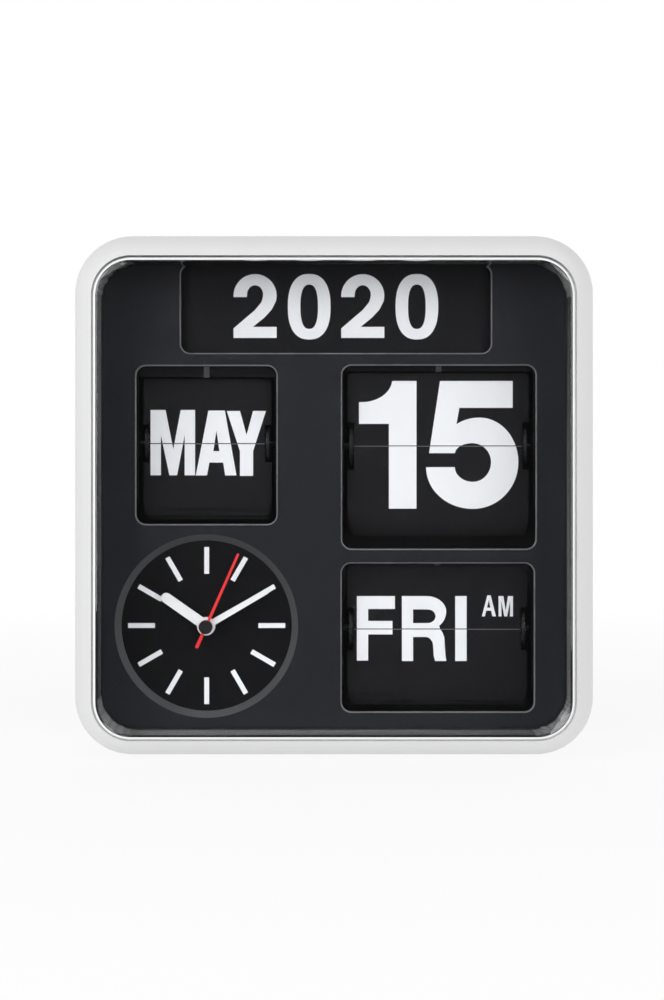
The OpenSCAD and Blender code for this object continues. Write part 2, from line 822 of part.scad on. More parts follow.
// One leaf standing on its hinge line at the origin, with a hinge tab in each notch
module leaf(u) {
    lift = groove_r(u) + notch_h - pivot_rise(u);
    inner_w = leaf_w(u) - 2 * notch_w;
    root = 0.5;
    tab_l = root + notch_w - cheek_t + 0.1 - clear;
    translate([0, leaf_t / 2, 0]) rotate([90, 0, 0]) linear_extrude(leaf_t) {
        translate([-inner_w / 2, -overhang(u)]) square([inner_w, overhang(u) + lift + root]);
        translate([-leaf_w(u) / 2, lift]) square([leaf_w(u), leaf_reach(u) - leaf_r - lift]);
        translate([-leaf_w(u) / 2 + leaf_r, lift])
            square([leaf_w(u) - 2 * leaf_r, leaf_reach(u) - lift]);
        for (side = [-1, 1]) {
            translate([side * (leaf_w(u) / 2 - leaf_r), leaf_reach(u) - leaf_r]) circle(leaf_r);
            translate([side * (inner_w / 2 - root + tab_l / 2), 0]) square([tab_l, tab_h], center = true);
        }
    }
}

// Leaf at its place on the spool: waiting leaves lean back over the top, fallen ones hang down
module leaf_on_spool(u, k) {
    way = (2 * k + 1) * half_pitch(u);
    lean = min(way - half_pitch(u), 180);
    translate([mid_x(u), axis_y(u) - groove_r(u) * cos(way), mid_z(u) + groove_r(u) * sin(way)])
        rotate([-lean, 0, 0]) leaf(u);
}

module leaf_stack(u) {
    color(leaf_black) for (k = [1 : leaf_n(u) - 1]) leaf_on_spool(u, k);
}

module flap(u) {
    color(leaf_black) leaf_on_spool(u, 0);
}

// Cheek with the groove in its inner face that the hinge tabs run in
module cheek_disc(u, side) {
    face = edge_x(u, side) - side * (notch_w - clear - 0.2);
    outer = face + side * cheek_t;
    groove_t = cheek_t - 0.6;
    groove_w = tab_h / 2 + 0.2;
    difference() {
        bar_x(face, outer, axis_y(u), mid_z(u), groove_r(u) + cheek_rim);
        difference() {
            bar_x(face - side, face + side * groove_t, axis_y(u), mid_z(u), groove_r(u) + groove_w);
            bar_x(face - 2 * side, face + 2 * side, axis_y(u), mid_z(u), groove_r(u) - groove_w);
        }
    }
}

module spool(u) {
    side = -gear_side(u);
    core_end = edge_x(u, -side) + side * (notch_w + 2);
    color(frame_grey) difference() {
        union() {
            cheek_disc(u, side);
            bar_x(edge_x(u, side) - side * (notch_w - 0.6), core_end, axis_y(u), mid_z(u), core_r);
        }
        bar_x(edge_x(u, -1), edge_x(u, 1), axis_y(u), mid_z(u), axle_r);
    }
}

module loose_cheek(u) {
    side = gear_side(u);
    core_end = edge_x(u, side) - side * (notch_w + 2);
    color(frame_grey) difference() {
        union() {
            cheek_disc(u, side);
            bar_x(edge_x(u, side) - side * (notch_w - 0.6), core_end, axis_y(u), mid_z(u), core_r);
        }
        bar_x(edge_x(u, -1), edge_x(u, 1), axis_y(u), mid_z(u), axle_r);
    }
}

module spool_axle(u) {
    stick = 1;
    side = gear_side(u);
    far = gear_x(u) + side * (gear_w / 2 + stick);
    color(gear_steel) bar_x(plate_out(u, -side) - side * stick, far, axis_y(u), mid_z(u), axle_r);
}

module spool_gear(u) {
    hub_r = 4;
    side = gear_side(u);
    inner = gear_x(u) - side * (gear_w / 2 + gear_gap - clear);
    color(gear_white) difference() {
        union() {
            gear_at(gear_x(u), axis_y(u), mid_z(u), teeth(u), 0);
            bar_x(inner, gear_x(u), axis_y(u), mid_z(u), hub_r);
        }
        bar_x(inner - side, gear_x(u) + side * gear_w, axis_y(u), mid_z(u), axle_r);
    }
}

module setting_wheel(u) {
    stick = 1;
    side = gear_side(u);
    y = at(wheel_depth(u));
    hub_r = 4;
    inner = gear_x(u) - side * (gear_w / 2 + gear_gap - clear);
    color("#3a3b40") {
        gear_at(gear_x(u), y, mid_z(u), set_teeth(u), mesh_turn(0, teeth(u), set_teeth(u)));
        bar_x(inner, gear_x(u), y, mid_z(u), hub_r);
        bar_x(plate_in(u, side) - side * stick, gear_x(u), y, mid_z(u), stub_r);
    }
}

module drive_pinion(u) {
    way = 90 * pinion_way(u);
    side = gear_side(u);
    box_face = side > 0 ? drive_x0 : drive_x1;
    turn = mesh_turn(way, teeth(u), pinion_n);
    color(gear_white) {
        gear_at(gear_x(u), axis_y(u), pinion_z(u), pinion_n, turn);
        bar_x(gear_x(u), box_face + side * (drive_bore - clear), axis_y(u), pinion_z(u), axle_r);
    }
}

// Frame of a leaf unit: two side plates with bearings, a bridge over the leaves and screwed feet
module unit_frame(u) {
    bridge_low = leaf_top(u) + 2 * clear;
    bridge_high = min(window_top(u) + bridge_lap, guide_low - guide_r - clear);
    foot_low = mid_z(u) - foot_drop - foot_l;
    wheel_y = at(wheel_depth(u));
    color(frame_grey) difference() {
        union() {
            for (side = [-1, 1]) {
                across(min(plate_in(u, side), plate_out(u, side)), plate_t) difference() {
                    union() {
                        translate([at(face_rear), foot_low]) square([strip_d, bridge_high - foot_low]);
                        translate([at(face_rear), mid_z(u) - bearing_r])
                            square([axis_y(u) - at(face_rear), 2 * bearing_r]);
                        translate([axis_y(u), mid_z(u)]) circle(bearing_r);
                        if (side == gear_side(u)) {
                            translate([axis_y(u), mid_z(u) - arm_r])
                                square([wheel_y - axis_y(u), 2 * arm_r]);
                            translate([wheel_y, mid_z(u)]) circle(arm_r);
                        }
                    }
                    translate([axis_y(u), mid_z(u)]) circle(axle_r + run_fit);
                    if (side == gear_side(u)) translate([wheel_y, mid_z(u)]) circle(stub_r + run_fit);
                }
                translate([plate_out(u, side) + side * (foot_w / 2 - 0.2), 0, foot_low + foot_l / 2])
                    slab(face_rear, face_rear + foot_t) square([foot_w + 0.4, foot_l], center = true);
            }
            translate([mid_x(u), 0, (bridge_low + bridge_high) / 2]) slab(face_rear, face_rear + bridge_d)
                square([leaf_w(u) + 2 * plate_gap + plate_t, bridge_high - bridge_low], center = true);
        }
        for (p = foot_points(u))
            bar_y(p[0], p[1], screw_r + hole_play, face_rear - 1, face_rear + foot_t + 1);
    }
}

// Spring finger behind each bridge that holds the standing leaf's top edge
module leaf_catches() {
    finger_w = 2.6;
    finger_t = 0.6;
    hook_d = 2;
    color("silver") for (u = units) {
        foot = leaf_top(u) + clear;
        head = window_top(u) - clear;
        start = face_rear - finger_t;
        translate([mid_x(u), 0, (foot + head) / 2]) slab(start, face_rear)
            square([finger_w, head - foot], center = true);
        translate([mid_x(u), 0, foot + clear / 2]) slab(start, face_rear + bridge_d + hook_d)
            square([finger_w, clear], center = true);
    }
}

module calendar_drive() {
    rear_y = at(drive_rear);
    front_y = at(face_rear);
    height = drive_z1 - drive_z0;
    color("darkslategray") difference() {
        union() {
            across(drive_x0, drive_x1 - drive_x0) {
                translate([front_y, drive_z0]) square([rear_y - front_y - drive_round, height]);
                translate([front_y, drive_z0 + drive_round])
                    square([rear_y - front_y, height - 2 * drive_round]);
                for (z = [drive_z0 + drive_round, drive_z1 - drive_round])
                    translate([rear_y - drive_round, z]) circle(drive_round);
            }
            translate([(drive_x0 + drive_x1) / 2, 0, (drive_z0 + drive_z1) / 2])
                slab(face_rear, face_rear + foot_t)
                    square([drive_x1 - drive_x0, height + 2 * drive_ear], center = true);
        }
        for (u = units) {
            side = gear_side(u);
            box_face = side > 0 ? drive_x0 : drive_x1;
            bar_x(box_face - side, box_face + side * drive_bore, axis_y(u), pinion_z(u), axle_r + run_fit);
        }
        for (p = drive_feet)
            bar_y(p[0], p[1], screw_r + hole_play, face_rear - 1, face_rear + foot_t + 1);
    }
}

// Frame of the year scroll: side plates, a backing plate, two guide bars and screwed feet
module year_frame() {
    roll_y = at(roll_depth);
    wheel_y = at(year_wheel_depth);
    low = guide_low - guide_r;
    high = guide_high + guide_r;
    inset = guide_r + 1.5;
    backing_front = film_depth + film_t + film_play;
    backing_t = 1.5;
    color(frame_grey) difference() {
        union() {
            for (side = [-1, 1]) {
                x = side < 0 ? year_plate_x0 - plate_t : year_plate_x1;
                across(x, plate_t) difference() {
                    union() {
                        translate([at(face_rear), low])
                            square([guide_y + guide_r - at(face_rear), high - low]);
                        translate([at(face_rear), low + 2])
                            square([roll_y - at(face_rear), high - low - 4]);
                        for (z = [roll_low, roll_high]) translate([roll_y, z]) circle(bearing_r);
                        if (side < 0) {
                            translate([roll_y, roll_low - arm_r])
                                square([wheel_y - roll_y, 2 * arm_r]);
                            translate([wheel_y, roll_low]) circle(arm_r);
                        }
                    }
                    for (z = [roll_low, roll_high]) translate([roll_y, z]) circle(axle_r + run_fit);
                    if (side < 0) translate([wheel_y, roll_low]) circle(stub_r + run_fit);
                }
                for (z = year_foot_z)
                    translate([side < 0 ? x - foot_w / 2 + 0.2 : x + plate_t + foot_w / 2 - 0.2, 0, z])
                        slab(face_rear, face_rear + foot_t) square([foot_w + 0.4, foot_pitch], center = true);
            }
            for (z = [guide_low, guide_high])
                bar_x(year_plate_x0 - 1, year_plate_x1 + 1, guide_y, z, guide_r);
            translate([(film_x0 + film_x1) / 2, 0, (guide_low + guide_high) / 2])
                slab(backing_front, backing_front + backing_t)
                    square([year_plate_x1 - year_plate_x0 + 2, high - low - 2 * inset], center = true);
        }
        for (p = year_feet)
            bar_y(p[0], p[1], screw_r + hole_play, face_rear - 1, face_rear + foot_t + 1);
    }
}

// Printed film: the flat stretch in the window, round both guide bars and back to the spools
module year_film() {
    outer = wrap_r + film_t;
    run = at(roll_depth) - guide_y;
    color("#17181c") across(film_x0, film_x1 - film_x0) {
        translate([at(film_depth), guide_low]) square([film_t, guide_high - guide_low]);
        translate([guide_y, guide_high + wrap_r]) square([run, film_t]);
        translate([guide_y, guide_low - outer]) square([run, film_t]);
        for (way = [1, -1]) translate([guide_y, way > 0 ? guide_high : guide_low]) intersection() {
            difference() {
                circle(outer);
                circle(wrap_r);
            }
            translate([-outer, way > 0 ? 0 : -outer]) square([outer, outer]);
        }
    }
}

module film_spool(z, gear_end) {
    y = at(roll_depth);
    stick = 1;
    left = gear_end ? year_gear_x - gear_w / 2 - stick : year_plate_x0 - plate_t - stick;
    color(leaf_black) {
        bar_x(film_x0, film_x1, y, z, roll_r);
        bar_x(film_x0 - spool_gap - spool_flange, film_x0 - spool_gap, y, z, flange_r);
        bar_x(film_x1 + spool_gap, film_x1 + spool_gap + spool_flange, y, z, flange_r);
        bar_x(film_x0 - spool_gap - 1, film_x1 + spool_gap + 1, y, z, core_r);
        bar_x(left, year_plate_x1 + plate_t + stick, y, z, axle_r);
    }
}

module year_gear() {
    y = at(roll_depth);
    hub_r = 4;
    inner = year_gear_x + gear_w / 2 + gear_gap - clear;
    color(gear_white) difference() {
        union() {
            gear_at(year_gear_x, y, roll_low, year_teeth, 0);
            bar_x(year_gear_x, inner, y, roll_low, hub_r);
        }
        bar_x(year_gear_x - gear_w, inner + 1, y, roll_low, axle_r);
    }
}

module year_wheel() {
    y = at(year_wheel_depth);
    hub_r = 4;
    stick = 1;
    inner = year_gear_x + gear_w / 2 + gear_gap - clear;
    color("#3a3b40") {
        gear_at(year_gear_x, y, roll_low, year_set, mesh_turn(0, year_teeth, year_set));
        bar_x(year_gear_x, inner, y, roll_low, hub_r);
        bar_x(year_gear_x, year_plate_x0 + stick, y, roll_low, stub_r);
    }
}

casing();
front_cover();
faceplate();
face_screws();
rear_cover();
rear_screws();
battery_holder();
battery_cell();
battery_contacts();
battery_door();
dial();
movement();
dial_nut();
hour_hand();
minute_hand();
second_hand();
second_cap();
time_knob();
unit_frame(month);  // month_frame
spool_axle(month);  // month_axle
spool(month);  // month_spool
loose_cheek(month);  // month_cheek
spool_gear(month);  // month_gear
leaf_stack(month);  // month_leaves
flap(month);  // month_flap
setting_wheel(month);  // month_wheel
drive_pinion(month);  // month_pinion
unit_frame(date);  // date_frame
spool_axle(date);  // date_axle
spool(date);  // date_spool
loose_cheek(date);  // date_cheek
spool_gear(date);  // date_gear
leaf_stack(date);  // date_leaves
flap(date);  // date_flap
setting_wheel(date);  // date_wheel
drive_pinion(date);  // date_pinion
unit_frame(day);  // day_frame
spool_axle(day);  // day_axle
spool(day);  // day_spool
loose_cheek(day);  // day_cheek
spool_gear(day);  // day_gear
leaf_stack(day);  // day_leaves
flap(day);  // day_flap
setting_wheel(day);  // day_wheel
drive_pinion(day);  // day_pinion
leaf_catches();
frame_screws();
calendar_drive();
year_frame();
year_film();
film_spool(roll_high, false);  // year_upper_spool
film_spool(roll_low, true);  // year_lower_spool
year_gear();
year_wheel();
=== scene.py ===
"""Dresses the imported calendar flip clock: finishes, prints, dial marks, screws and a plain studio."""

from __future__ import annotations

import json
import logging
import math
from dataclasses import dataclass
from enum import Enum
from typing import Any

import bmesh
import bpy
from mathutils import Matrix, Vector

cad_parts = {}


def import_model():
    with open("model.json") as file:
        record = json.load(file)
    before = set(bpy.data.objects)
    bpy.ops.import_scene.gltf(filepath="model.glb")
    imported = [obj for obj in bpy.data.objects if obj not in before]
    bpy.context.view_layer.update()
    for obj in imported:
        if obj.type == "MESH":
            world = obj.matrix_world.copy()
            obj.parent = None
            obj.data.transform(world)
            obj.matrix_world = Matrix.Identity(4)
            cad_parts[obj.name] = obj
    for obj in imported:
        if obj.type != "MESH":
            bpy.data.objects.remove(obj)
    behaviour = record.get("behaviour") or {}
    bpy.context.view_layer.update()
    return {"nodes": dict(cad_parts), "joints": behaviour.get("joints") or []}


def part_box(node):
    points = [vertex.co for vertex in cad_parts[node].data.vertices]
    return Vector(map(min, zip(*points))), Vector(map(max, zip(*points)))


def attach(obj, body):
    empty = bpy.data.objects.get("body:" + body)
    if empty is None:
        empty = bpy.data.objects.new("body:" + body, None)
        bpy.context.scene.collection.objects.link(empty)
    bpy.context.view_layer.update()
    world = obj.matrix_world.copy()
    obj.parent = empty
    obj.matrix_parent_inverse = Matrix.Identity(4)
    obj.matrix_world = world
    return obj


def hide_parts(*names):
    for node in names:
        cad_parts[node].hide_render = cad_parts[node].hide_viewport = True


LOG = logging.getLogger("flip_clock")
MM = 0.001
ROOT_BODY = "clock"
DIAL_X = -59.5 * MM
DIAL_Z = 58.8 * MM
CAMERA_LEVEL = 145.5 * MM

Point = tuple[float, float]
Colour = tuple[float, float, float]
Contour = list[Point]


class Half(Enum):
    """The half of a value that a leaf carries."""

    UPPER = 1
    LOWER = -1


class Side(Enum):
    """The side of a leaf that a print lies on."""

    FRONT = -1
    BACK = 1


# Node helpers


def add_node(tree: bpy.types.NodeTree, kind: str, place: Point = (0, 0), **values: Any) -> bpy.types.Node:
    """Adds a node and sets its properties.

    Args:
        tree: The node tree.
        kind: Blender's name of the node type.
        place: Where the node stands in the editor.
        values: Properties of the node.

    Returns:
        The new node.
    """
    node = tree.nodes.new(kind)
    node.location = place
    for name, value in values.items():
        setattr(node, name, value)
    return node


def group_socket(tree: bpy.types.NodeTree, name: str, way: str, kind: str, default: Any = None) -> str:
    """Adds a socket to a node group.

    Args:
        tree: The node group.
        name: The socket's name.
        way: INPUT or OUTPUT.
        kind: Blender's name of the socket type.
        default: The value that an input starts with.

    Returns:
        The socket's identifier.
    """
    item = tree.interface.new_socket(name=name, in_out=way, socket_type=kind)
    if default is not None:
        item.default_value = default
    return item.identifier


def moulded_surface_group() -> bpy.types.NodeTree:
    """Makes or finds the shared effect of a moulded surface.

    Returns:
        A shader group that turns a place into a tone, a roughness shift and a grain height.
    """
    name = "moulded_surface"
    cloud_share = 0.03
    cloud_detail = 3.0
    grain_detail = 4.0
    noise_middle = 0.5
    if name in bpy.data.node_groups:
        return bpy.data.node_groups[name]
    tree = bpy.data.node_groups.new(name, "ShaderNodeTree")
    group_socket(tree, "Place", "INPUT", "NodeSocketVector")
    group_socket(tree, "Grain Scale", "INPUT", "NodeSocketFloat", 900.0)
    group_socket(tree, "Mottle", "INPUT", "NodeSocketFloat", 0.04)
    group_socket(tree, "Gloss Spread", "INPUT", "NodeSocketFloat", 0.05)
    group_socket(tree, "Tone", "OUTPUT", "NodeSocketFloat")
    group_socket(tree, "Gloss Shift", "OUTPUT", "NodeSocketFloat")
    group_socket(tree, "Height", "OUTPUT", "NodeSocketFloat")
    start = add_node(tree, "NodeGroupInput", (-900, 0))
    end = add_node(tree, "NodeGroupOutput", (500, 0))
    cloud_scale = add_node(tree, "ShaderNodeMath", (-700, -200), operation="MULTIPLY")
    cloud_scale.inputs[1].default_value = cloud_share
    cloud = add_node(tree, "ShaderNodeTexNoise", (-500, 200))
    cloud.inputs["Detail"].default_value = cloud_detail
    grain = add_node(tree, "ShaderNodeTexNoise", (-500, -200))
    grain.inputs["Detail"].default_value = grain_detail
    centred = add_node(tree, "ShaderNodeMath", (-300, 200), operation="SUBTRACT")
    centred.inputs[1].default_value = noise_middle
    mottled = add_node(tree, "ShaderNodeMath", (-100, 300), operation="MULTIPLY_ADD")
    mottled.inputs[2].default_value = 1.0
    spread = add_node(tree, "ShaderNodeMath", (-100, 100), operation="MULTIPLY")
    link = tree.links.new
    link(start.outputs["Place"], cloud.inputs["Vector"])
    link(start.outputs["Place"], grain.inputs["Vector"])
    link(start.outputs["Grain Scale"], grain.inputs["Scale"])
    link(start.outputs["Grain Scale"], cloud_scale.inputs[0])
    link(cloud_scale.outputs[0], cloud.inputs["Scale"])
    link(cloud.outputs["Fac"], centred.inputs[0])
    link(centred.outputs[0], mottled.inputs[0])
    link(start.outputs["Mottle"], mottled.inputs[1])
    link(centred.outputs[0], spread.inputs[0])
    link(start.outputs["Gloss Spread"], spread.inputs[1])
    link(mottled.outputs[0], end.inputs["Tone"])
    link(spread.outputs[0], end.inputs["Gloss Shift"])
    link(grain.outputs["Fac"], end.inputs["Height"])
    return tree


# Finishes


@dataclass(frozen=True)
class Finish:
    """A surface finish with the fine grain of the real material."""

    name: str
    colour: Colour
    roughness: float
    metallic: float = 0.0
    grain_scale: float = 900.0
    grain_height: float = 0.00002
    grain_strength: float = 0.35
    mottle: float = 0.06
    gloss_spread: float = 0.12
    specular: float = 0.5

    def material(self) -> bpy.types.Material:
        """Makes the material once and returns it."""
        if self.name in bpy.data.materials:
            return bpy.data.materials[self.name]
        made = bpy.data.materials.new(self.name)
        made.use_nodes = True
        made.diffuse_color = (*self.colour, 1.0)
        tree = made.node_tree
        shader = tree.nodes["Principled BSDF"]
        shader.inputs["Metallic"].default_value = self.metallic
        shader.inputs["Specular IOR Level"].default_value = self.specular
        place = add_node(tree, "ShaderNodeTexCoord", (-1000, 0))
        surface = add_node(tree, "ShaderNodeGroup", (-780, 0), node_tree=moulded_surface_group())
        surface.inputs["Grain Scale"].default_value = self.grain_scale
        surface.inputs["Mottle"].default_value = self.mottle
        surface.inputs["Gloss Spread"].default_value = self.gloss_spread
        tint = add_node(tree, "ShaderNodeVectorMath", (-500, 200), operation="SCALE")
        tint.inputs[0].default_value = self.colour
        gloss = add_node(tree, "ShaderNodeMath", (-500, 0), operation="ADD", use_clamp=True)
        gloss.inputs[1].default_value = self.roughness
        bump = add_node(tree, "ShaderNodeBump", (-300, -200))
        bump.inputs["Strength"].default_value = self.grain_strength
        bump.inputs["Distance"].default_value = self.grain_height
        link = tree.links.new
        link(place.outputs["Object"], surface.inputs["Place"])
        link(surface.outputs["Tone"], tint.inputs["Scale"])
        link(tint.outputs[0], shader.inputs["Base Color"])
        link(surface.outputs["Gloss Shift"], gloss.inputs[0])
        link(gloss.outputs[0], shader.inputs["Roughness"])
        link(surface.outputs["Height"], bump.inputs["Height"])
        link(bump.outputs["Normal"], shader.inputs["Normal"])
        return made


@dataclass(frozen=True)
class ClearPlastic:
    """Clear acrylic that lets lamp light through to what is behind it."""

    name: str
    colour: Colour
    roughness: float
    ior: float
    viewport_alpha: float = 0.25

    def material(self) -> bpy.types.Material:
        """Makes the material once and returns it."""
        if self.name in bpy.data.materials:
            return bpy.data.materials[self.name]
        made = bpy.data.materials.new(self.name)
        made.use_nodes = True
        made.diffuse_color = (*self.colour, self.viewport_alpha)
        tree = made.node_tree
        shader = tree.nodes["Principled BSDF"]
        shader.inputs["Base Color"].default_value = (*self.colour, 1.0)
        shader.inputs["Roughness"].default_value = self.roughness
        shader.inputs["IOR"].default_value = self.ior
        shader.inputs["Transmission Weight"].default_value = 1.0
        clear = add_node(tree, "ShaderNodeBsdfTransparent", (0, -300))
        clear.inputs["Color"].default_value = (*self.colour, 1.0)
        path = add_node(tree, "ShaderNodeLightPath", (0, 300))
        mix = add_node(tree, "ShaderNodeMixShader", (300, 0))
        out = tree.nodes["Material Output"]
        link = tree.links.new
        link(path.outputs["Is Shadow Ray"], mix.inputs["Fac"])
        link(shader.outputs[0], mix.inputs[1])
        link(clear.outputs[0], mix.inputs[2])
        link(mix.outputs[0], out.inputs["Surface"])
        return made


WHITE_CASE = Finish("white_case_plastic", (0.73, 0.73, 0.732), 0.42, grain_scale=2600, mottle=0.03)
CLEAR_COVER = ClearPlastic("clear_cover_acrylic", (0.985, 0.99, 0.99), 0.015, 1.49)
# Pale paint on the clear cover's rounded front edge: a painted highlight standing in for reflected light,
# not the acrylic's own colour.
COVER_EDGE_PAINTED_HIGHLIGHT = Finish("cover_edge_gleam", (0.9, 0.905, 0.905), 0.12, grain_scale=2600, mottle=0.03)
FACE_BLACK = Finish(
    "faceplate_satin_black", (0.010, 0.0105, 0.0140), 0.40, grain_scale=2200, mottle=0.12, specular=0.3
)
# Lighter grey on the faceplate's sloped window edges: a painted highlight; the real faceplate is one
# satin black throughout.
WINDOW_EDGE_PAINTED_HIGHLIGHT = Finish("window_edge_satin", (0.16, 0.165, 0.175), 0.28, grain_scale=2200, mottle=0.2)
DIAL_BLACK = Finish("dial_matt_black", (0.0035, 0.0035, 0.0042), 0.5, grain_scale=3000, specular=0.1)
# Grey on the dial's sloped ring: a painted sheen laid over the faceplate's own satin black.
DIAL_RING_PAINTED_SHEEN = Finish("dial_ring_grey", (0.052, 0.053, 0.056), 0.34, grain_scale=2200)
LEAF_BLACK = Finish(
    "leaf_matt_black", (0.0052, 0.0051, 0.0064), 0.5, grain_scale=3200, mottle=0.15, specular=0.18
)
# Pale grey on the leaves' cut edge: a painted highlight; the leaf itself is matt black.
LEAF_EDGE_PAINTED_HIGHLIGHT = Finish("leaf_cut_edge", (0.22, 0.22, 0.225), 0.6, grain_scale=3200, mottle=0.3)
FILM_BLACK = Finish("year_film_black", (0.005, 0.005, 0.0062), 0.45, grain_scale=3200, specular=0.18)
PRINT_WHITE = Finish("print_white", (0.88, 0.885, 0.92), 0.55, grain_scale=4000, mottle=0.04)
HAND_WHITE = Finish("hand_white_paint", (0.88, 0.88, 0.9), 0.4, grain_scale=3000, mottle=0.03)
HAND_RED = Finish("hand_red_paint", (0.84, 0.03, 0.032), 0.35, grain_scale=3000, mottle=0.05)
CAP_BLACK = Finish("hub_cap_black", (0.01, 0.01, 0.011), 0.3, grain_scale=3000)
FRAME_GREY = Finish(
    "frame_dark_plastic", (0.011, 0.011, 0.0125), 0.5, grain_scale=1800, mottle=0.12, specular=0.35
)
FRAME_BLACK = Finish("frame_matt_black", (0.0025, 0.0025, 0.0032), 0.55, grain_scale=1800, specular=0.1)
REAR_BLACK = Finish("rear_moulded_black", (0.014, 0.0145, 0.016), 0.48, grain_scale=1500, mottle=0.12)
GEAR_NATURAL = Finish("gear_natural_plastic", (0.62, 0.61, 0.57), 0.42, grain_scale=1800)
WHEEL_GREY = Finish("wheel_dark_plastic", (0.045, 0.046, 0.05), 0.45, grain_scale=1800, mottle=0.1)
DARK_STEEL = Finish(
    "blackened_steel", (0.085, 0.085, 0.088), 0.4, metallic=1.0, grain_scale=5000, mottle=0.1
)
STEEL = Finish("plated_steel", (0.55, 0.55, 0.56), 0.3, metallic=1.0, grain_scale=5000, mottle=0.1)
CELL_JACKET = Finish("cell_jacket", (0.05, 0.12, 0.25), 0.3, grain_scale=900)

FINISH_OF_NODE: dict[str, Finish | ClearPlastic] = {
    "movement": FRAME_GREY,
    "battery_holder": FRAME_GREY,
    "rear_cover": REAR_BLACK,
    "battery_door": REAR_BLACK,
    "dial": DIAL_BLACK,
    "dial_nut": DIAL_BLACK,
    "second_cap": CAP_BLACK,
    "year_film": FILM_BLACK,
    "face_screws": STEEL,
    "frame_screws": STEEL,
    "battery_contacts": STEEL,
    "leaf_catches": DARK_STEEL,
    "battery_cell": CELL_JACKET,
    "hour_hand": HAND_WHITE,
    "minute_hand": HAND_WHITE,
    "second_hand": HAND_RED,
    "time_knob": WHEEL_GREY,
    "calendar_drive": FRAME_GREY,
    "year_frame": FRAME_GREY,
    "year_upper_spool": FILM_BLACK,
    "year_lower_spool": FILM_BLACK,
    "year_gear": GEAR_NATURAL,
    "year_wheel": WHEEL_GREY,
}
FINISH_OF_UNIT_PIECE: dict[str, Finish] = {
    "frame": FRAME_BLACK,
    "axle": DARK_STEEL,
    "spool": FRAME_GREY,
    "cheek": FRAME_GREY,
    "gear": GEAR_NATURAL,
    "pinion": GEAR_NATURAL,
    "wheel": WHEEL_GREY,
    "leaves": LEAF_BLACK,
    "flap": LEAF_BLACK,
}


# Mesh helpers


def paint(piece: bpy.types.Object, finish: Finish | ClearPlastic) -> None:
    """Gives a piece one finish."""
    piece.data.materials.clear()
    piece.data.materials.append(finish.material())


def new_piece(name: str, mesh: bpy.types.Mesh) -> bpy.types.Object:
    """Puts a mesh into the scene as an object at the origin."""
    piece = bpy.data.objects.new(name, mesh)
    bpy.context.scene.collection.objects.link(piece)
    return piece


def baked(piece: bpy.types.Object) -> bpy.types.Object:
    """Turns a piece's modifiers or curve into a plain mesh.

    Args:
        piece: The object to bake. It is removed.

    Returns:
        A new object of the same name that holds the result.
    """
    name = piece.name
    graph = bpy.context.evaluated_depsgraph_get()
    mesh = bpy.data.meshes.new_from_object(piece.evaluated_get(graph))
    mesh.transform(piece.matrix_world)
    bpy.data.objects.remove(piece)
    made = new_piece(name, mesh)
    made.name = name
    mesh.name = name
    return made


def smooth_copy(node: bpy.types.Object, name: str, sharp_deg: float) -> bpy.types.Object:
    """Copies a CAD node as one merged mesh that shades smoothly between its sharp edges.

    Args:
        node: The CAD node.
        name: The new piece's name.
        sharp_deg: Edges that turn by more than this stay sharp.

    Returns:
        The new piece.
    """
    merge_distance = 1e-6
    flat_faces_share = 100
    mesh = node.data.copy()
    mesh.name = name
    shape = bmesh.new()
    shape.from_mesh(mesh)
    bmesh.ops.remove_doubles(shape, verts=shape.verts, dist=merge_distance)
    shape.to_mesh(mesh)
    shape.free()
    mesh.shade_smooth()
    mesh.set_sharp_from_angle(angle=math.radians(sharp_deg))
    piece = new_piece(name, mesh)
    weigh = piece.modifiers.new("flat_faces_first", "WEIGHTED_NORMAL")
    weigh.mode = "FACE_AREA"
    weigh.weight = flat_faces_share
    weigh.keep_sharp = True
    return baked(piece)


def lathe(name: str, profile: Contour, steps: int) -> bpy.types.Mesh:
    """Turns a profile about the Y axis.

    Args:
        name: The mesh's name.
        profile: Points as radius and depth, from the axis out and back to it or round a closed ring.
        steps: Steps of the full turn.

    Returns:
        The closed mesh.
    """
    merge_distance = 1e-7
    shape = bmesh.new()
    edges = []
    points = [shape.verts.new((radius, depth, 0)) for radius, depth in profile]
    for one, other in zip(points, points[1:]):
        edges.append(shape.edges.new((one, other)))
    bmesh.ops.spin(
        shape, geom=points + edges, cent=(0, 0, 0), axis=(0, 1, 0), angle=2 * math.pi, steps=steps
    )
    bmesh.ops.remove_doubles(shape, verts=shape.verts, dist=merge_distance)
    bmesh.ops.recalc_face_normals(shape, faces=shape.faces)
    mesh = bpy.data.meshes.new(name)
    shape.to_mesh(mesh)
    shape.free()
    return mesh


# Printed characters


def arc(centre: Point, radii: Point, start: float, end: float, steps: int = 14) -> Contour:
    """Points along an ellipse.

    Args:
        centre: The ellipse's middle.
        radii: Its half width and half height.
        start: First angle in degrees, from the right and clockwise on the drawing.
        end: Last angle.
        steps: Number of steps.

    Returns:
        The points, both ends included.
    """
    points = []
    for i in range(steps + 1):
        angle = math.radians(start + (end - start) * i / steps)
        points.append((centre[0] + radii[0] * math.cos(angle), centre[1] + radii[1] * math.sin(angle)))
    return points


def rounded_loop(centre: Point, radii: Point, power: float, steps: int = 48) -> Contour:
    """Points round a squared-off ellipse, such as the outline of a nought."""
    points = []
    for i in range(steps):
        angle = 2 * math.pi * i / steps
        across = math.copysign(abs(math.cos(angle)) ** (2 / power), math.cos(angle))
        down = math.copysign(abs(math.sin(angle)) ** (2 / power), math.sin(angle))
        points.append((centre[0] + radii[0] * across, centre[1] + radii[1] * down))
    return points


def box_loop(left: float, top: float, right: float, bottom: float) -> Contour:
    """The four corners of a rectangle on the drawing."""
    return [(left, top), (right, top), (right, bottom), (left, bottom)]


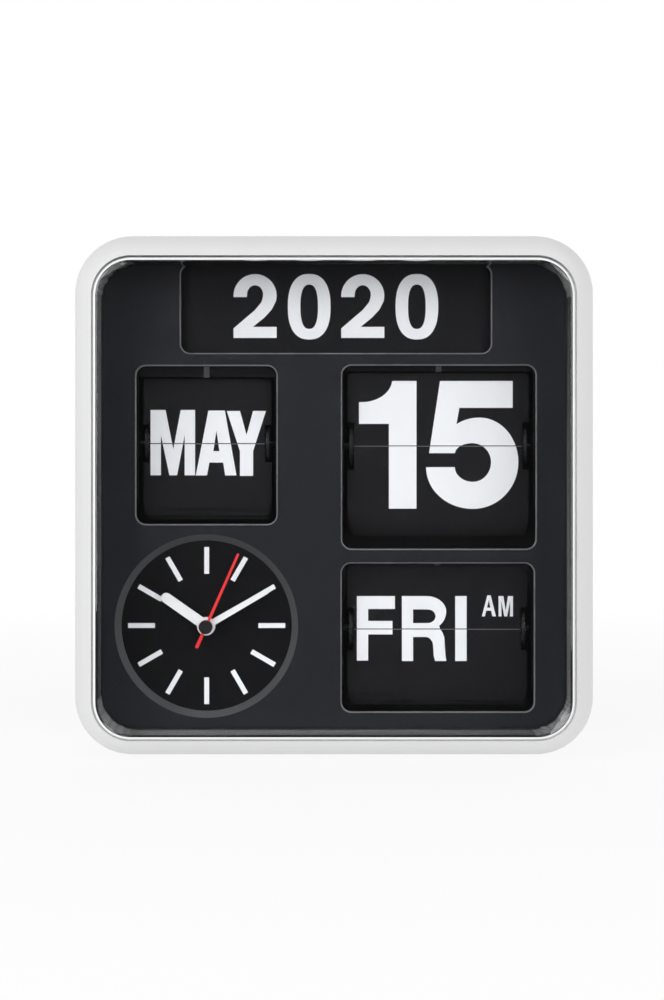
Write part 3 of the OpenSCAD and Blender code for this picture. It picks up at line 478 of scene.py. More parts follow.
def shifted(contours: list[Contour], across: float) -> list[Contour]:
    """Moves contours sideways on the drawing."""
    return [[(x + across, y) for x, y in contour] for contour in contours]


@dataclass(frozen=True)
class Drawing:
    """A drawing of printed characters, with y downwards, and its place on the clock.

    The unit is one drawing unit in metres, left is the clock's x at the drawing's left edge and
    top is the clock's z at its top edge.
    """

    unit: float
    left: float
    top: float

    def place(self, point: Point) -> Point:
        """Turns a drawing point into the clock's x and z."""
        return self.left + point[0] * self.unit, self.top - point[1] * self.unit


LEAF_PX = 0.47006 * MM
FILM_PX = 0.46916 * MM
CAMERA_X_PX = 334.0
CAMERA_Y_PX = 440.0


def placed_drawing(px: float, zoom: float, left_px: float, top_px: float) -> Drawing:
    """Places a drawing made over an enlarged part of the picture frame.

    Args:
        px: The size of one frame pixel at the print's depth, in metres.
        zoom: Drawing units to one frame pixel.
        left_px: The drawing's left edge in the frame.
        top_px: The drawing's top edge in the frame.

    Returns:
        The drawing's place on the clock.
    """
    left = (left_px - CAMERA_X_PX) * px
    top = CAMERA_LEVEL + (CAMERA_Y_PX - top_px) * px
    return Drawing(px / zoom, left, top)


MONTH_DRAWING = placed_drawing(LEAF_PX, 8, 130, 355)
DATE_DRAWING = placed_drawing(LEAF_PX, 7, 335, 355)
DAY_DRAWING = placed_drawing(LEAF_PX, 7, 335, 555)
YEAR_DRAWING = placed_drawing(FILM_PX, 5.807, 70, 230)


def month_now() -> list[Contour]:
    """The month in view."""
    letter_m = [
        (165, 962), (165, 440), (285, 440), (347, 754), (407, 440), (521, 440), (521, 962), (438, 962),
        (438, 640), (377, 962), (316, 962), (248, 640), (248, 962),
    ]
    letter_a = [
        (527, 963), (628, 445), (759, 445), (852, 963), (762, 963), (746, 860), (636, 860), (616, 963),
    ]
    hole_a = [(692, 605), (716, 769), (667, 769)]
    letter_y = [
        (775, 448), (880, 448), (933, 640), (985, 448), (1088, 448), (985, 770), (985, 967), (880, 967),
        (880, 770),
    ]
    return [letter_m, letter_a, hole_a, letter_y]


def month_next() -> list[Contour]:
    """The month that comes after the one in view."""
    letter_j = [(305, 440), (398, 440), (398, 800)]
    letter_j += arc((286, 808), (112, 155), 0, 180)
    letter_j += [(174, 780), (266, 780)]
    letter_j += arc((286, 808), (20, 68), 180, 0, 8)
    letter_u = [(462, 440), (555, 440), (555, 800)]
    letter_u += arc((605, 805), (50, 75), 180, 0, 8)
    letter_u += [(655, 440), (748, 440), (748, 800)]
    letter_u += arc((605, 805), (143, 158), 0, 180)
    letter_n = [
        (810, 963), (810, 440), (905, 440), (968, 720), (968, 440), (1055, 440), (1055, 963), (960, 963),
        (897, 685), (897, 963),
    ]
    return [letter_j, letter_u, letter_n]


def figure_one() -> list[Contour]:
    """The date's one."""
    loop = [(377, 1075), (377, 482), (168, 482), (168, 330)]
    loop += arc((190, 165), (212, 165), 90, 6)
    loop += [(570, 182), (570, 1075)]
    return [loop]


def figure_five() -> list[Contour]:
    """The date's five."""
    loop = [(735, 182), (1243, 182), (1243, 370), (870, 370)]
    loop += arc((1010, 640), (250, 202), -130, -92, 8)
    loop += arc((1010, 750), (273, 312), -90, 0)
    loop += arc((965, 750), (318, 327), 0, 90)
    loop += arc((965, 785), (328, 292), 90, 180)
    loop += [(838, 785)]
    loop += arc((965, 785), (127, 103), 180, 90, 8)
    loop += arc((965, 750), (127, 138), 90, 0, 8)
    loop += arc((962, 750), (130, 133), 0, -90, 8)
    loop += arc((962, 687), (122, 70), -90, -180, 8)
    loop += [(658, 687)]
    return [loop]


def figure_six() -> list[Contour]:
    """The date's six."""
    loop = [(1265, 430), (1075, 430)]
    loop += arc((985, 430), (105, 85), 0, -90, 8)
    loop += arc((985, 520), (140, 175), -90, -180, 8)
    loop += arc((1000, 560), (130, 70), -150, -90, 6)
    loop += arc((1000, 785), (285, 295), -90, 0)
    loop += arc((965, 785), (320, 292), 0, 90)
    loop += arc((965, 750), (325, 327), 90, 180)
    loop += arc((985, 520), (345, 338), 180, 270)
    loop += arc((985, 430), (280, 248), -90, 0)
    return [loop, rounded_loop((965, 780), (125, 125), 2.3)]


def day_name() -> list[Contour]:
    """The day of the week."""
    letter_f = [
        (153, 738), (153, 287), (419, 287), (419, 377), (232, 377), (232, 461), (402, 461), (402, 555),
        (232, 555), (232, 738),
    ]
    letter_r = [(468, 741), (468, 287)]
    letter_r += arc((640, 395), (138, 108), -90, 0, 10)
    letter_r += arc((640, 395), (138, 130), 5, 50, 5)
    letter_r += [(735, 517), (753, 543), (765, 579), (769, 652), (773, 708), (779, 741), (700, 741)]
    letter_r += [(690, 702), (687, 634), (681, 603)]
    letter_r += arc((634, 620), (46, 47), -20, -90, 6)
    letter_r += [(546, 573), (546, 741)]
    hole_r = [(546, 380)]
    hole_r += arc((648, 428), (56, 48), -90, 90, 10)
    hole_r += [(546, 476)]
    return [letter_f, letter_r, hole_r, box_loop(841, 287, 921, 741)]


def small_m() -> Contour:
    """The second letter of the half of the day."""
    return [
        (1144, 429), (1144, 287), (1178, 287), (1194, 389), (1210, 287), (1245, 287), (1245, 429),
        (1224, 429), (1225, 321), (1204, 429), (1184, 429), (1163, 321), (1165, 429),
    ]


def morning() -> list[Contour]:
    """The mark of the morning half of the day."""
    letter_a = [
        (1027, 429), (1066, 282), (1089, 282), (1126, 429), (1101, 429), (1092, 389), (1058, 389),
        (1048, 429),
    ]
    hole_a = [(1076, 315), (1087, 368), (1064, 368)]
    return [letter_a, hole_a, small_m()]


def afternoon() -> list[Contour]:
    """The mark of the afternoon half of the day."""
    letter_p = [(1034, 430), (1034, 282)]
    letter_p += arc((1082, 328), (46, 46), -90, 90, 10)
    letter_p += [(1060, 374), (1060, 430)]
    hole_p = [(1060, 304)]
    hole_p += arc((1080, 326), (19, 22), -90, 90, 8)
    hole_p += [(1060, 348)]
    return [letter_p, hole_p, small_m()]


def figure_two() -> list[Contour]:
    """The year's two."""
    loop = [(950, 390)]
    loop += arc((1075, 382), (125, 125), 180, 375, 22)
    loop += [(1172, 462), (1130, 508), (1062, 563), (1200, 563), (1200, 627), (950, 627), (950, 572)]
    loop += [(1010, 520), (1072, 468), (1112, 420)]
    loop += arc((1075, 376), (47, 55), 10, -180, 14)
    loop += [(1027, 390)]
    return [loop]


def figure_nought() -> list[Contour]:
    """The year's nought."""
    return [
        rounded_loop((1389, 446), (124, 190), 2.4),
        rounded_loop((1389, 446), (51, 129), 2.5),
    ]


def year_now() -> list[Contour]:
    """The four figures of the year."""
    step = 625
    pair = figure_two() + figure_nought()
    return pair + shifted(pair, step)


PRINT_THICKNESS = 0.03 * MM
SPLIT_GAP = 0.5 * MM
# Height of the painted highlight strip on the leaf's cut edge.
EDGE_HIGHLIGHT_HEIGHT = 0.22 * MM


def print_mesh(name: str, contours: list[Contour], drawing: Drawing) -> bpy.types.Mesh:
    """Makes characters as a thin flat mesh in the plane y = 0, with holes where contours nest.

    Args:
        name: The mesh's name.
        contours: Closed outlines on the drawing.
        drawing: Where the drawing lies on the clock.

    Returns:
        The mesh, standing upright and facing -Y.
    """
    curve = bpy.data.curves.new(name, "CURVE")
    curve.dimensions = "2D"
    curve.fill_mode = "BOTH"
    curve.extrude = PRINT_THICKNESS / 2
    for contour in contours:
        spline = curve.splines.new("POLY")
        spline.points.add(len(contour) - 1)
        for point, corner in zip(spline.points, contour):
            x, z = drawing.place(corner)
            point.co = (x, z, 0, 1)
        spline.use_cyclic_u = True
    holder = new_piece(name, curve)
    graph = bpy.context.evaluated_depsgraph_get()
    mesh = bpy.data.meshes.new_from_object(holder.evaluated_get(graph))
    bpy.data.objects.remove(holder)
    bpy.data.curves.remove(curve)
    mesh.transform(Matrix.Rotation(math.radians(90), 4, "X"))
    return mesh


def cut_mesh(mesh: bpy.types.Mesh, height: float, half: Half) -> None:
    """Keeps the part of a mesh above or below a height.

    Args:
        mesh: The mesh, changed in place.
        height: The z of the cut.
        half: The half to keep.
    """
    merge_distance = 1e-8
    shape = bmesh.new()
    shape.from_mesh(mesh)
    bmesh.ops.remove_doubles(shape, verts=shape.verts, dist=merge_distance)
    cut = bmesh.ops.bisect_plane(
        shape,
        geom=shape.verts[:] + shape.edges[:] + shape.faces[:],
        plane_co=(0, 0, height),
        plane_no=(0, 0, -half.value),
        clear_outer=True,
    )
    rim = [item for item in cut["geom_cut"] if isinstance(item, bmesh.types.BMEdge)]
    bmesh.ops.triangle_fill(shape, edges=rim, use_dissolve=False)
    bmesh.ops.recalc_face_normals(shape, faces=shape.faces)
    shape.to_mesh(mesh)
    shape.free()


def turn_about(point: Vector, angle: float) -> Matrix:
    """A turn by an angle in radians about the line along X through a point."""
    return Matrix.Translation(point) @ Matrix.Rotation(angle, 4, "X") @ Matrix.Translation(-point)


# Sub-assemblies


@dataclass
class Shell:
    """The white casing, the clear cover and the faceplate."""

    nodes: dict[str, bpy.types.Object]
    casing_sharp_deg: float = 34.0
    cover_sharp_deg: float = 10.0
    faceplate_sharp_deg: float = 20.0

    def build(self) -> None:
        """Makes a smooth copy of the casing and dresses it, then the cover and the faceplate."""
        piece = smooth_copy(self.nodes["casing"], "casing_skin", self.casing_sharp_deg)
        paint(piece, WHITE_CASE)
        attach(piece, ROOT_BODY)
        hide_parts("casing")
        LOG.info("shell piece %s", piece.name)
        self.build_cover()
        self.build_faceplate()

    def build_cover(self) -> None:
        """Makes a copy of the clear cover whose rounded front edge faces carry a pale painted highlight
        line.
        """
        steep = -0.82
        shallow = -0.18
        highlight_index = 1
        piece = smooth_copy(self.nodes["front_cover"], "front_cover_skin", self.cover_sharp_deg)
        paint(piece, CLEAR_COVER)
        piece.data.materials.append(COVER_EDGE_PAINTED_HIGHLIGHT.material())
        # Faces turned partly sideways get the pale painted highlight.
        for face in piece.data.polygons:
            if steep < face.normal.y < shallow:
                face.material_index = highlight_index
        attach(piece, ROOT_BODY)
        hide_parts("front_cover")
        LOG.info("shell piece %s", piece.name)

    def build_faceplate(self) -> None:
        """Makes a copy of the faceplate whose sloped window edges carry a painted highlight and whose
        dial slope carries a painted sheen.
        """
        flat = 0.95
        upright = 0.05
        reach = 45 * MM
        highlight_index = 1
        sheen_index = 2
        piece = smooth_copy(self.nodes["faceplate"], "faceplate_skin", self.faceplate_sharp_deg)
        paint(piece, FACE_BLACK)
        for finish in (WINDOW_EDGE_PAINTED_HIGHLIGHT, DIAL_RING_PAINTED_SHEEN):
            piece.data.materials.append(finish.material())
        # Faces are painted lighter by their slope alone: painted highlight on the window edges, painted
        # sheen on the dial's sloped ring.
        for face in piece.data.polygons:
            slope = -face.normal.y
            if upright < slope < flat:
                across = face.center.x - DIAL_X
                rise = face.center.z - DIAL_Z
                on_ring = math.hypot(across, rise) < reach
                face.material_index = sheen_index if on_ring else highlight_index
        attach(piece, ROOT_BODY)
        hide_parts("faceplate")
        LOG.info("shell piece %s", piece.name)


@dataclass
class Dial:
    """The dial's hour bars."""

    centre_x: float = DIAL_X
    centre_z: float = DIAL_Z
    front_y: float = 0.0
    bars: int = 12
    bar_inner: float = 24.2 * MM
    bar_outer: float = 36.7 * MM
    bar_width: float = 2.25 * MM
    bar_thickness: float = 0.12 * MM

    def marks_tree(self) -> tuple[bpy.types.NodeTree, dict[str, str]]:
        """Builds the tree that sets bars round a circle.

        Returns:
            The tree and its inputs' identifiers by name.
        """
        tree = bpy.data.node_groups.new("hour_bars", "GeometryNodeTree")
        names = {}
        names["Count"] = group_socket(tree, "Count", "INPUT", "NodeSocketInt")
        names["Radius"] = group_socket(tree, "Radius", "INPUT", "NodeSocketFloat")
        names["Bar Size"] = group_socket(tree, "Bar Size", "INPUT", "NodeSocketVector")
        names["Centre"] = group_socket(tree, "Centre", "INPUT", "NodeSocketVector")
        names["Paint"] = group_socket(tree, "Paint", "INPUT", "NodeSocketMaterial")
        group_socket(tree, "Geometry", "OUTPUT", "NodeSocketGeometry")
        start = add_node(tree, "NodeGroupInput", (-900, 0))
        end = add_node(tree, "NodeGroupOutput", (900, 0))
        circle = add_node(tree, "GeometryNodeMeshCircle", (-600, 200))
        bar = add_node(tree, "GeometryNodeMeshCube", (-600, -100))
        index = add_node(tree, "GeometryNodeInputIndex", (-900, -300))
        share = add_node(tree, "ShaderNodeMath", (-700, -300), operation="DIVIDE")
        turn = add_node(tree, "ShaderNodeMath", (-500, -300), operation="MULTIPLY")
        turn.inputs[1].default_value = 2 * math.pi
        spin = add_node(tree, "ShaderNodeCombineXYZ", (-300, -300))
        copies = add_node(tree, "GeometryNodeInstanceOnPoints", (-100, 0))
        upright = add_node(tree, "GeometryNodeTransform", (150, 0))
        upright.inputs["Rotation"].default_value = (math.radians(90), 0, 0)
        real = add_node(tree, "GeometryNodeRealizeInstances", (400, 0))
        dress = add_node(tree, "GeometryNodeSetMaterial", (650, 0))
        link = tree.links.new
        link(start.outputs["Count"], circle.inputs["Vertices"])
        link(start.outputs["Radius"], circle.inputs["Radius"])
        link(start.outputs["Bar Size"], bar.inputs["Size"])
        link(index.outputs[0], share.inputs[0])
        link(start.outputs["Count"], share.inputs[1])
        link(share.outputs[0], turn.inputs[0])
        link(turn.outputs[0], spin.inputs["Z"])
        link(circle.outputs["Mesh"], copies.inputs["Points"])
        link(bar.outputs["Mesh"], copies.inputs["Instance"])
        link(spin.outputs[0], copies.inputs["Rotation"])
        link(copies.outputs[0], upright.inputs["Geometry"])
        link(start.outputs["Centre"], upright.inputs["Translation"])
        link(upright.outputs[0], real.inputs["Geometry"])
        link(real.outputs[0], dress.inputs["Geometry"])
        link(start.outputs["Paint"], dress.inputs["Material"])
        link(dress.outputs[0], end.inputs[0])
        return tree, names

    def build_bars(self) -> bpy.types.Object:
        """Makes the twelve hour bars.

        Returns:
            One plain mesh piece.
        """
        tree, names = self.marks_tree()
        holder = new_piece("hour_bars", bpy.data.meshes.new("hour_bars"))
        modifier = holder.modifiers.new("bars", "NODES")
        modifier.node_group = tree
        middle = (self.bar_inner + self.bar_outer) / 2
        modifier[names["Count"]] = self.bars
        modifier[names["Radius"]] = middle
        bar_length = self.bar_outer - self.bar_inner
        modifier[names["Bar Size"]] = (bar_length, self.bar_width, self.bar_thickness)
        modifier[names["Centre"]] = (self.centre_x, self.front_y, self.centre_z)
        modifier[names["Paint"]] = PRINT_WHITE.material()
        piece = baked(holder)
        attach(piece, ROOT_BODY)
        return piece

    def build(self) -> None:
        """Makes the bars on the front of the dial plate."""
        self.front_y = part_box("dial")[0][1]
        LOG.info("dial piece %s", self.build_bars().name)


@dataclass
class FlipUnit:
    """The prints of one leaf unit: the value in view and the one that comes after it."""

    name: str
    drawing: Drawing
    now: list[Contour]
    after: list[Contour]
    joints: dict[str, dict[str, Any]]

    def add_print(self, label: str, value: list[Contour], half: Half, side: Side, body: str,
                  move: Matrix) -> None:
        """Prints half of a value on a leaf.

        Args:
            label: The end of the piece's name.
            value: The value's outlines.
            half: The half that the leaf carries.
            side: The leaf's printed side.
            body: The body the leaf belongs to.
            move: Takes the print from the standing plane to the leaf.
        """
        low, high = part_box(self.name + "_flap")
        split = low[2] - SPLIT_GAP / 2
        leaf_front = low[1]
        mesh = print_mesh(f"{self.name}_{label}", value, self.drawing)
        cut_mesh(mesh, split + half.value * SPLIT_GAP / 2, half)
        mesh.transform(Matrix.Translation((0, leaf_front - PRINT_THICKNESS / 2, 0)))
        if side is Side.BACK:
            middle = Vector((0, (low[1] + high[1]) / 2, split))
            mesh.transform(turn_about(middle, math.pi))
        mesh.transform(move)
        piece = new_piece(f"{self.name}_{label}", mesh)
        paint(piece, PRINT_WHITE)
        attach(piece, body)
        LOG.info("print %s", piece.name)

    def add_cut_edge(self) -> None:
        """Adds a pale strip along the top cut edge of the hanging leaf, a painted highlight that shows as
        the split line.
        """
        low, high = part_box(self.name + "_flap")
        edge_top = low[2] - SPLIT_GAP + EDGE_HIGHLIGHT_HEIGHT
        notch = 3.4 * MM
        shape = bmesh.new()
        size = Matrix.Diagonal((high[0] - low[0] - 2 * notch, high[1] - low[1], EDGE_HIGHLIGHT_HEIGHT, 1))
        middle = ((low[0] + high[0]) / 2, (low[1] + high[1]) / 2, edge_top - EDGE_HIGHLIGHT_HEIGHT / 2)
        bmesh.ops.create_cube(shape, size=1, matrix=Matrix.Translation(middle) @ size)
        mesh = bpy.data.meshes.new(self.name + "_cut_edge")
        shape.to_mesh(mesh)
        shape.free()
        piece = new_piece(self.name + "_cut_edge", mesh)
        paint(piece, LEAF_EDGE_PAINTED_HIGHLIGHT)
        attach(piece, self.name + "_leaves")

    def build(self) -> None:
        """Prints both values on the leaves that show them."""
        flap = self.name + "_flap"
        stack = self.name + "_leaves"
        step = self.joints[self.name + "_leaves_step"]
        axis = Vector(step["pos_m"])
        pitch = math.radians(step["range_deg"][1])
        back_one = turn_about(axis, -pitch)
        still = Matrix.Identity(4)
        self.add_cut_edge()
        self.add_print("now_upper", self.now, Half.UPPER, Side.FRONT, flap, still)
        self.add_print("now_lower", self.now, Half.LOWER, Side.FRONT, stack, still)
        self.add_print("next_lower", self.after, Half.LOWER, Side.BACK, flap, still)
        self.add_print("next_upper", self.after, Half.UPPER, Side.FRONT, stack, back_one)


@dataclass
class YearPrint:
    """The year printed on the film."""

    drawing: Drawing

    def build(self) -> None:
        """Prints the figures on the film's flat stretch."""
        mesh = print_mesh("year_figures", year_now(), self.drawing)
        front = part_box("year_film")[0][1]
        mesh.transform(Matrix.Translation((0, front - PRINT_THICKNESS / 2, 0)))
        piece = new_piece("year_figures", mesh)
        paint(piece, PRINT_WHITE)
        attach(piece, ROOT_BODY)
        LOG.info("print %s", piece.name)


@dataclass
class RearScrews:
    """Cross-headed screws that hold the rear cover."""

    head_radius: float = 2.2 * MM
    head_height: float = 1.4 * MM
    dome: float = 0.45 * MM
    recess_length: float = 2.5 * MM
    recess_width: float = 0.6 * MM
    recess_depth: float = 0.8 * MM
    dome_steps: int = 6
    round_steps: int = 40
    turn_step: float = 0.7
    sharp_deg: float = 35.0

    def head_mesh(self) -> bpy.types.Object:
        """Makes one domed head with a cross cut into it.

        Returns:
            The head as an object at the origin, seated on y = 0 and rising along +Y.
        """
        side = self.head_height - self.dome
        profile = [(0, 0), (self.head_radius, 0), (self.head_radius, side)]
        for i in range(1, self.dome_steps + 1):
            angle = math.radians(90 * i / self.dome_steps)
            profile.append((self.head_radius * math.cos(angle), side + self.dome * math.sin(angle)))
        head = new_piece("screw_head", lathe("screw_head", profile, self.round_steps))
        cross = bmesh.new()
        for turn in (0, 90):
            size = Matrix.Diagonal((self.recess_length, 2 * self.recess_depth, self.recess_width, 1))
            raised = Matrix.Translation((0, self.head_height, 0))
            turned = Matrix.Rotation(math.radians(turn), 4, "Y")
            bmesh.ops.create_cube(cross, size=1, matrix=raised @ turned @ size)
        mesh = bpy.data.meshes.new("screw_cross")
        cross.to_mesh(mesh)
        cross.free()
        cutter = new_piece("screw_cross", mesh)
        cut = head.modifiers.new("cross", "BOOLEAN")
        cut.operation = "DIFFERENCE"
        cut.object = cutter
        cut.use_self = True
        done = baked(head)
        bpy.data.objects.remove(cutter)
        return done

    def copies_tree(self) -> tuple[bpy.types.NodeTree, dict[str, str]]:
        """Builds the tree that sets a copy of an object on each point.

        Returns:
            The tree and its inputs' identifiers by name.
        """
        tree = bpy.data.node_groups.new("screws_on_points", "GeometryNodeTree")
        names = {}
        group_socket(tree, "Points", "INPUT", "NodeSocketGeometry")
        names["Head"] = group_socket(tree, "Head", "INPUT", "NodeSocketObject")
        names["Turn"] = group_socket(tree, "Turn", "INPUT", "NodeSocketFloat")
        names["Paint"] = group_socket(tree, "Paint", "INPUT", "NodeSocketMaterial")
        group_socket(tree, "Geometry", "OUTPUT", "NodeSocketGeometry")
        start = add_node(tree, "NodeGroupInput", (-700, 0))
        end = add_node(tree, "NodeGroupOutput", (700, 0))
        head = add_node(tree, "GeometryNodeObjectInfo", (-450, -150))
        index = add_node(tree, "GeometryNodeInputIndex", (-700, -300))
        turn = add_node(tree, "ShaderNodeMath", (-450, -350), operation="MULTIPLY")
        spin = add_node(tree, "ShaderNodeCombineXYZ", (-250, -350))
        copies = add_node(tree, "GeometryNodeInstanceOnPoints", (-100, 0))
        real = add_node(tree, "GeometryNodeRealizeInstances", (150, 0))
        dress = add_node(tree, "GeometryNodeSetMaterial", (400, 0))
        link = tree.links.new
        link(start.outputs["Points"], copies.inputs["Points"])
        link(start.outputs["Head"], head.inputs["Object"])
        link(head.outputs["Geometry"], copies.inputs["Instance"])
        link(index.outputs[0], turn.inputs[0])
        link(start.outputs["Turn"], turn.inputs[1])
        link(turn.outputs[0], spin.inputs["Y"])
        link(spin.outputs[0], copies.inputs["Rotation"])
        link(copies.outputs[0], real.inputs["Geometry"])
        link(real.outputs[0], dress.inputs["Geometry"])
        link(start.outputs["Paint"], dress.inputs["Material"])
        link(dress.outputs[0], end.inputs[0])
        return tree, names

    def build(self) -> None:
        """Sets a head on each corner of the rear cover in place of the plain screws."""
        low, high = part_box("rear_screws")
        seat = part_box("rear_cover")[1][1]
        inset = self.head_radius
        corners = [
            (x, seat, z)
            for x in (low[0] + inset, high[0] - inset)
            for z in (low[2] + inset, high[2] - inset)
        ]
        mesh = bpy.data.meshes.new("rear_screw_heads")
        mesh.from_pydata(corners, [], [])
        holder = new_piece("rear_screw_heads", mesh)
        head = self.head_mesh()
        tree, names = self.copies_tree()
        modifier = holder.modifiers.new("heads", "NODES")
        modifier.node_group = tree
        modifier[names["Head"]] = head
        modifier[names["Turn"]] = self.turn_step
        modifier[names["Paint"]] = STEEL.material()
        piece = baked(holder)
        bpy.data.objects.remove(head)
        piece.data.shade_smooth()
        piece.data.set_sharp_from_angle(angle=math.radians(self.sharp_deg))
        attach(piece, ROOT_BODY)
        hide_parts("rear_screws")
        LOG.info("rear screws on %d corners", len(corners))


@dataclass(frozen=True)
class Softbox:
    """A square soft lamp, with its place and side in metres."""

    name: str
    place: tuple[float, float, float]
    side: float
    watts: float

    def build(self, target: Vector) -> None:
        """Hangs the lamp so that it points at a target."""
        data = bpy.data.lights.new(self.name, "AREA")
        data.shape = "SQUARE"
        data.size = self.side
        data.energy = self.watts
        lamp = bpy.data.objects.new(self.name, data)
        lamp.location = self.place
        lamp.rotation_euler = (target - Vector(self.place)).to_track_quat("-Z", "Y").to_euler()
        bpy.context.scene.collection.objects.link(lamp)


SOFTBOXES = (
    Softbox("left_softbox", (-1.3, -1.6, 0.5), 1.2, 21),
    Softbox("right_softbox", (1.3, -1.6, 0.45), 1.2, 16.7),
    Softbox("top_softbox", (-0.2, -1.0, 1.6), 1.2, 8),
)


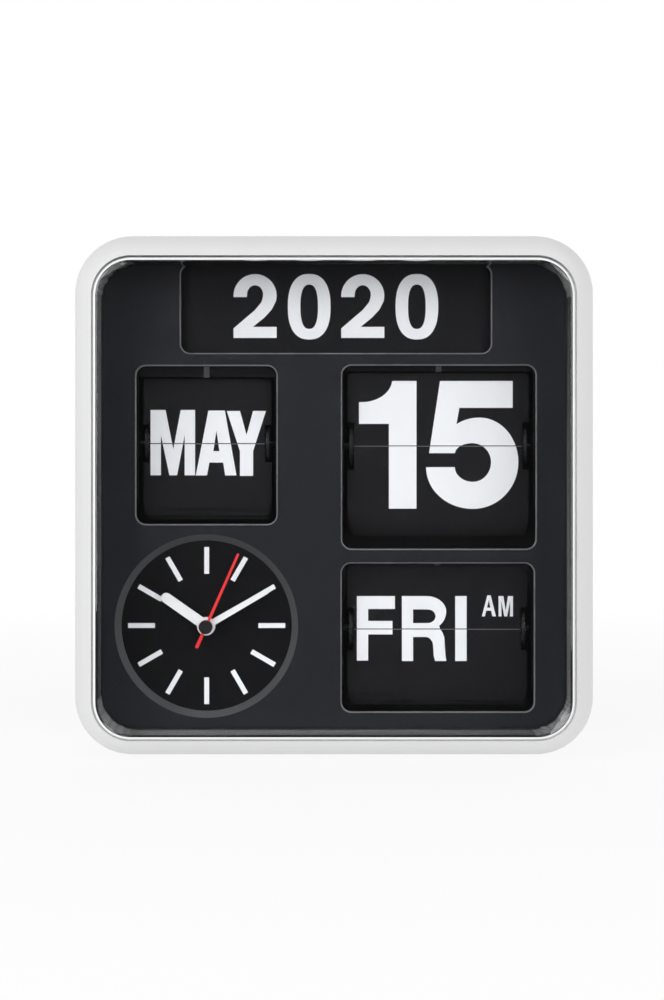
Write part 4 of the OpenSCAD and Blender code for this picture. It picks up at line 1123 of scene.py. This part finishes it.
@dataclass
class Studio:
    """Floor, light and camera."""

    camera_y: float = -1049 * MM
    camera_z: float = CAMERA_LEVEL
    focal_px: float = 2221.0
    frame_height_px: float = 1000.0
    sensor_mm: float = 36.0
    shift_x: float = -0.002
    shift_y: float = -0.06
    clip_start: float = 0.01
    lamp_target_z: float = 0.12

    def build_camera(self) -> None:
        """Sets a level camera a little above the display's middle and shifts its frame."""
        data = bpy.data.cameras.new("camera")
        data.sensor_fit = "VERTICAL"
        data.sensor_height = self.sensor_mm
        data.lens = self.focal_px * self.sensor_mm / self.frame_height_px
        data.shift_x = self.shift_x
        data.shift_y = self.shift_y
        data.clip_start = self.clip_start
        camera = bpy.data.objects.new("camera", data)
        camera.location = (0, self.camera_y, self.camera_z)
        camera.rotation_euler = (math.radians(90), 0, 0)
        bpy.context.scene.collection.objects.link(camera)
        bpy.context.scene.camera = camera

    def build_world(self) -> None:
        """Makes a white backdrop that is bright behind the object and dim in front of it."""
        dim = (0.03, 0.03, 0.032, 1)
        bright = (0.8, 0.8, 0.8, 1)
        ramp_start = -0.45
        ramp_end = 0.0
        world = bpy.data.worlds.new("studio")
        world.use_nodes = True
        bpy.context.scene.world = world
        tree = world.node_tree
        tree.nodes.clear()
        place = add_node(tree, "ShaderNodeTexCoord", (-1000, 0))
        parts = add_node(tree, "ShaderNodeSeparateXYZ", (-800, 0))
        ramp = add_node(tree, "ShaderNodeMapRange", (-600, 0))
        ramp.inputs["From Min"].default_value = ramp_start
        ramp.inputs["From Max"].default_value = ramp_end
        mix = add_node(tree, "ShaderNodeMix", (-400, 0), data_type="RGBA")
        mix.inputs[6].default_value = dim
        mix.inputs[7].default_value = bright
        light = add_node(tree, "ShaderNodeBackground", (-150, 0))
        white = add_node(tree, "ShaderNodeBackground", (-150, -200))
        white.inputs["Color"].default_value = (1, 1, 1, 1)
        path = add_node(tree, "ShaderNodeLightPath", (-800, 400))
        away = add_node(tree, "ShaderNodeMath", (-600, 400), operation="GREATER_THAN")
        away.inputs[1].default_value = 0.0
        through = add_node(tree, "ShaderNodeMath", (-400, 400), operation="MULTIPLY")
        seen = add_node(tree, "ShaderNodeMath", (-200, 400), operation="MAXIMUM")
        choose = add_node(tree, "ShaderNodeMixShader", (100, 0))
        out = add_node(tree, "ShaderNodeOutputWorld", (300, 0))
        link = tree.links.new
        link(place.outputs["Generated"], parts.inputs[0])
        link(parts.outputs["Y"], ramp.inputs["Value"])
        link(ramp.outputs[0], mix.inputs[0])
        link(mix.outputs[2], light.inputs["Color"])
        link(parts.outputs["Y"], away.inputs[0])
        link(path.outputs["Is Transmission Ray"], through.inputs[0])
        link(away.outputs[0], through.inputs[1])
        link(path.outputs["Is Camera Ray"], seen.inputs[0])
        link(through.outputs[0], seen.inputs[1])
        link(seen.outputs[0], choose.inputs["Fac"])
        link(light.outputs[0], choose.inputs[1])
        link(white.outputs[0], choose.inputs[2])
        link(choose.outputs[0], out.inputs["Surface"])

    def build_floor(self) -> None:
        """Makes a white floor that keeps a soft shadow, lights the underside and fades far off."""
        reach = 6.0
        near_distance = 0.25
        far_distance = 0.9
        near_share = 0.86
        bounce = 0.7
        floor_grey = (0.85, 0.85, 0.85, 1)
        mesh = bpy.data.meshes.new("floor")
        corners = [(-reach, -reach, 0), (reach, -reach, 0), (reach, reach, 0), (-reach, reach, 0)]
        mesh.from_pydata(corners, [], [(0, 1, 2, 3)])
        floor = new_piece("floor", mesh)
        made = bpy.data.materials.new("floor_white")
        made.use_nodes = True
        tree = made.node_tree
        tree.nodes.clear()
        diffuse = add_node(tree, "ShaderNodeBsdfDiffuse", (-200, 0))
        diffuse.inputs["Color"].default_value = floor_grey
        white = add_node(tree, "ShaderNodeEmission", (-200, -200))
        place = add_node(tree, "ShaderNodeTexCoord", (-1000, 0))
        distance = add_node(tree, "ShaderNodeVectorMath", (-800, 0), operation="LENGTH")
        fade = add_node(tree, "ShaderNodeMapRange", (-600, 0))
        fade.inputs["From Min"].default_value = near_distance
        fade.inputs["From Max"].default_value = far_distance
        fade.inputs["To Min"].default_value = near_share
        path = add_node(tree, "ShaderNodeLightPath", (-600, 300))
        share = add_node(tree, "ShaderNodeMix", (-200, 250), data_type="FLOAT")
        share.inputs["A"].default_value = bounce
        mix = add_node(tree, "ShaderNodeMixShader", (50, 0))
        out = add_node(tree, "ShaderNodeOutputMaterial", (250, 0))
        link = tree.links.new
        link(place.outputs["Object"], distance.inputs[0])
        link(distance.outputs["Value"], fade.inputs["Value"])
        link(path.outputs["Is Camera Ray"], share.inputs["Factor"])
        link(fade.outputs[0], share.inputs["B"])
        link(share.outputs[0], mix.inputs["Fac"])
        link(diffuse.outputs[0], mix.inputs[1])
        link(white.outputs[0], mix.inputs[2])
        link(mix.outputs[0], out.inputs["Surface"])
        mesh.materials.append(made)
        floor.visible_glossy = False
        floor.visible_transmission = False

    def build(self) -> None:
        """Sets up the whole studio."""
        bpy.context.scene.view_settings.view_transform = "Standard"
        self.build_camera()
        self.build_world()
        self.build_floor()
        for softbox in SOFTBOXES:
            softbox.build(Vector((0, 0, self.lamp_target_z)))
        LOG.info("studio ready")


def dress_nodes(nodes: dict[str, bpy.types.Object]) -> None:
    """Gives every CAD node that stays in view its finish.

    Args:
        nodes: The CAD nodes by name.
    """
    finishes = dict(FINISH_OF_NODE)
    for unit in ("month", "date", "day"):
        for part, finish in FINISH_OF_UNIT_PIECE.items():
            finishes[f"{unit}_{part}"] = finish
    for name, finish in finishes.items():
        paint(nodes[name], finish)
    LOG.info("dressed %d nodes", len(finishes))


def main() -> None:
    """Builds the clock's looks in order."""
    logging.basicConfig(level=logging.INFO)
    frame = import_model()
    nodes = frame["nodes"]
    joints = {joint["name"]: joint for joint in frame["joints"]}
    Studio().build()
    dress_nodes(nodes)
    Shell(nodes).build()
    Dial().build()
    one = figure_one()
    FlipUnit("month", MONTH_DRAWING, month_now(), month_next(), joints).build()
    FlipUnit("date", DATE_DRAWING, one + figure_five(), one + figure_six(), joints).build()
    FlipUnit("day", DAY_DRAWING, day_name() + morning(), day_name() + afternoon(), joints).build()
    YearPrint(YEAR_DRAWING).build()
    RearScrews().build()


if __name__ == "__main__":
    main()
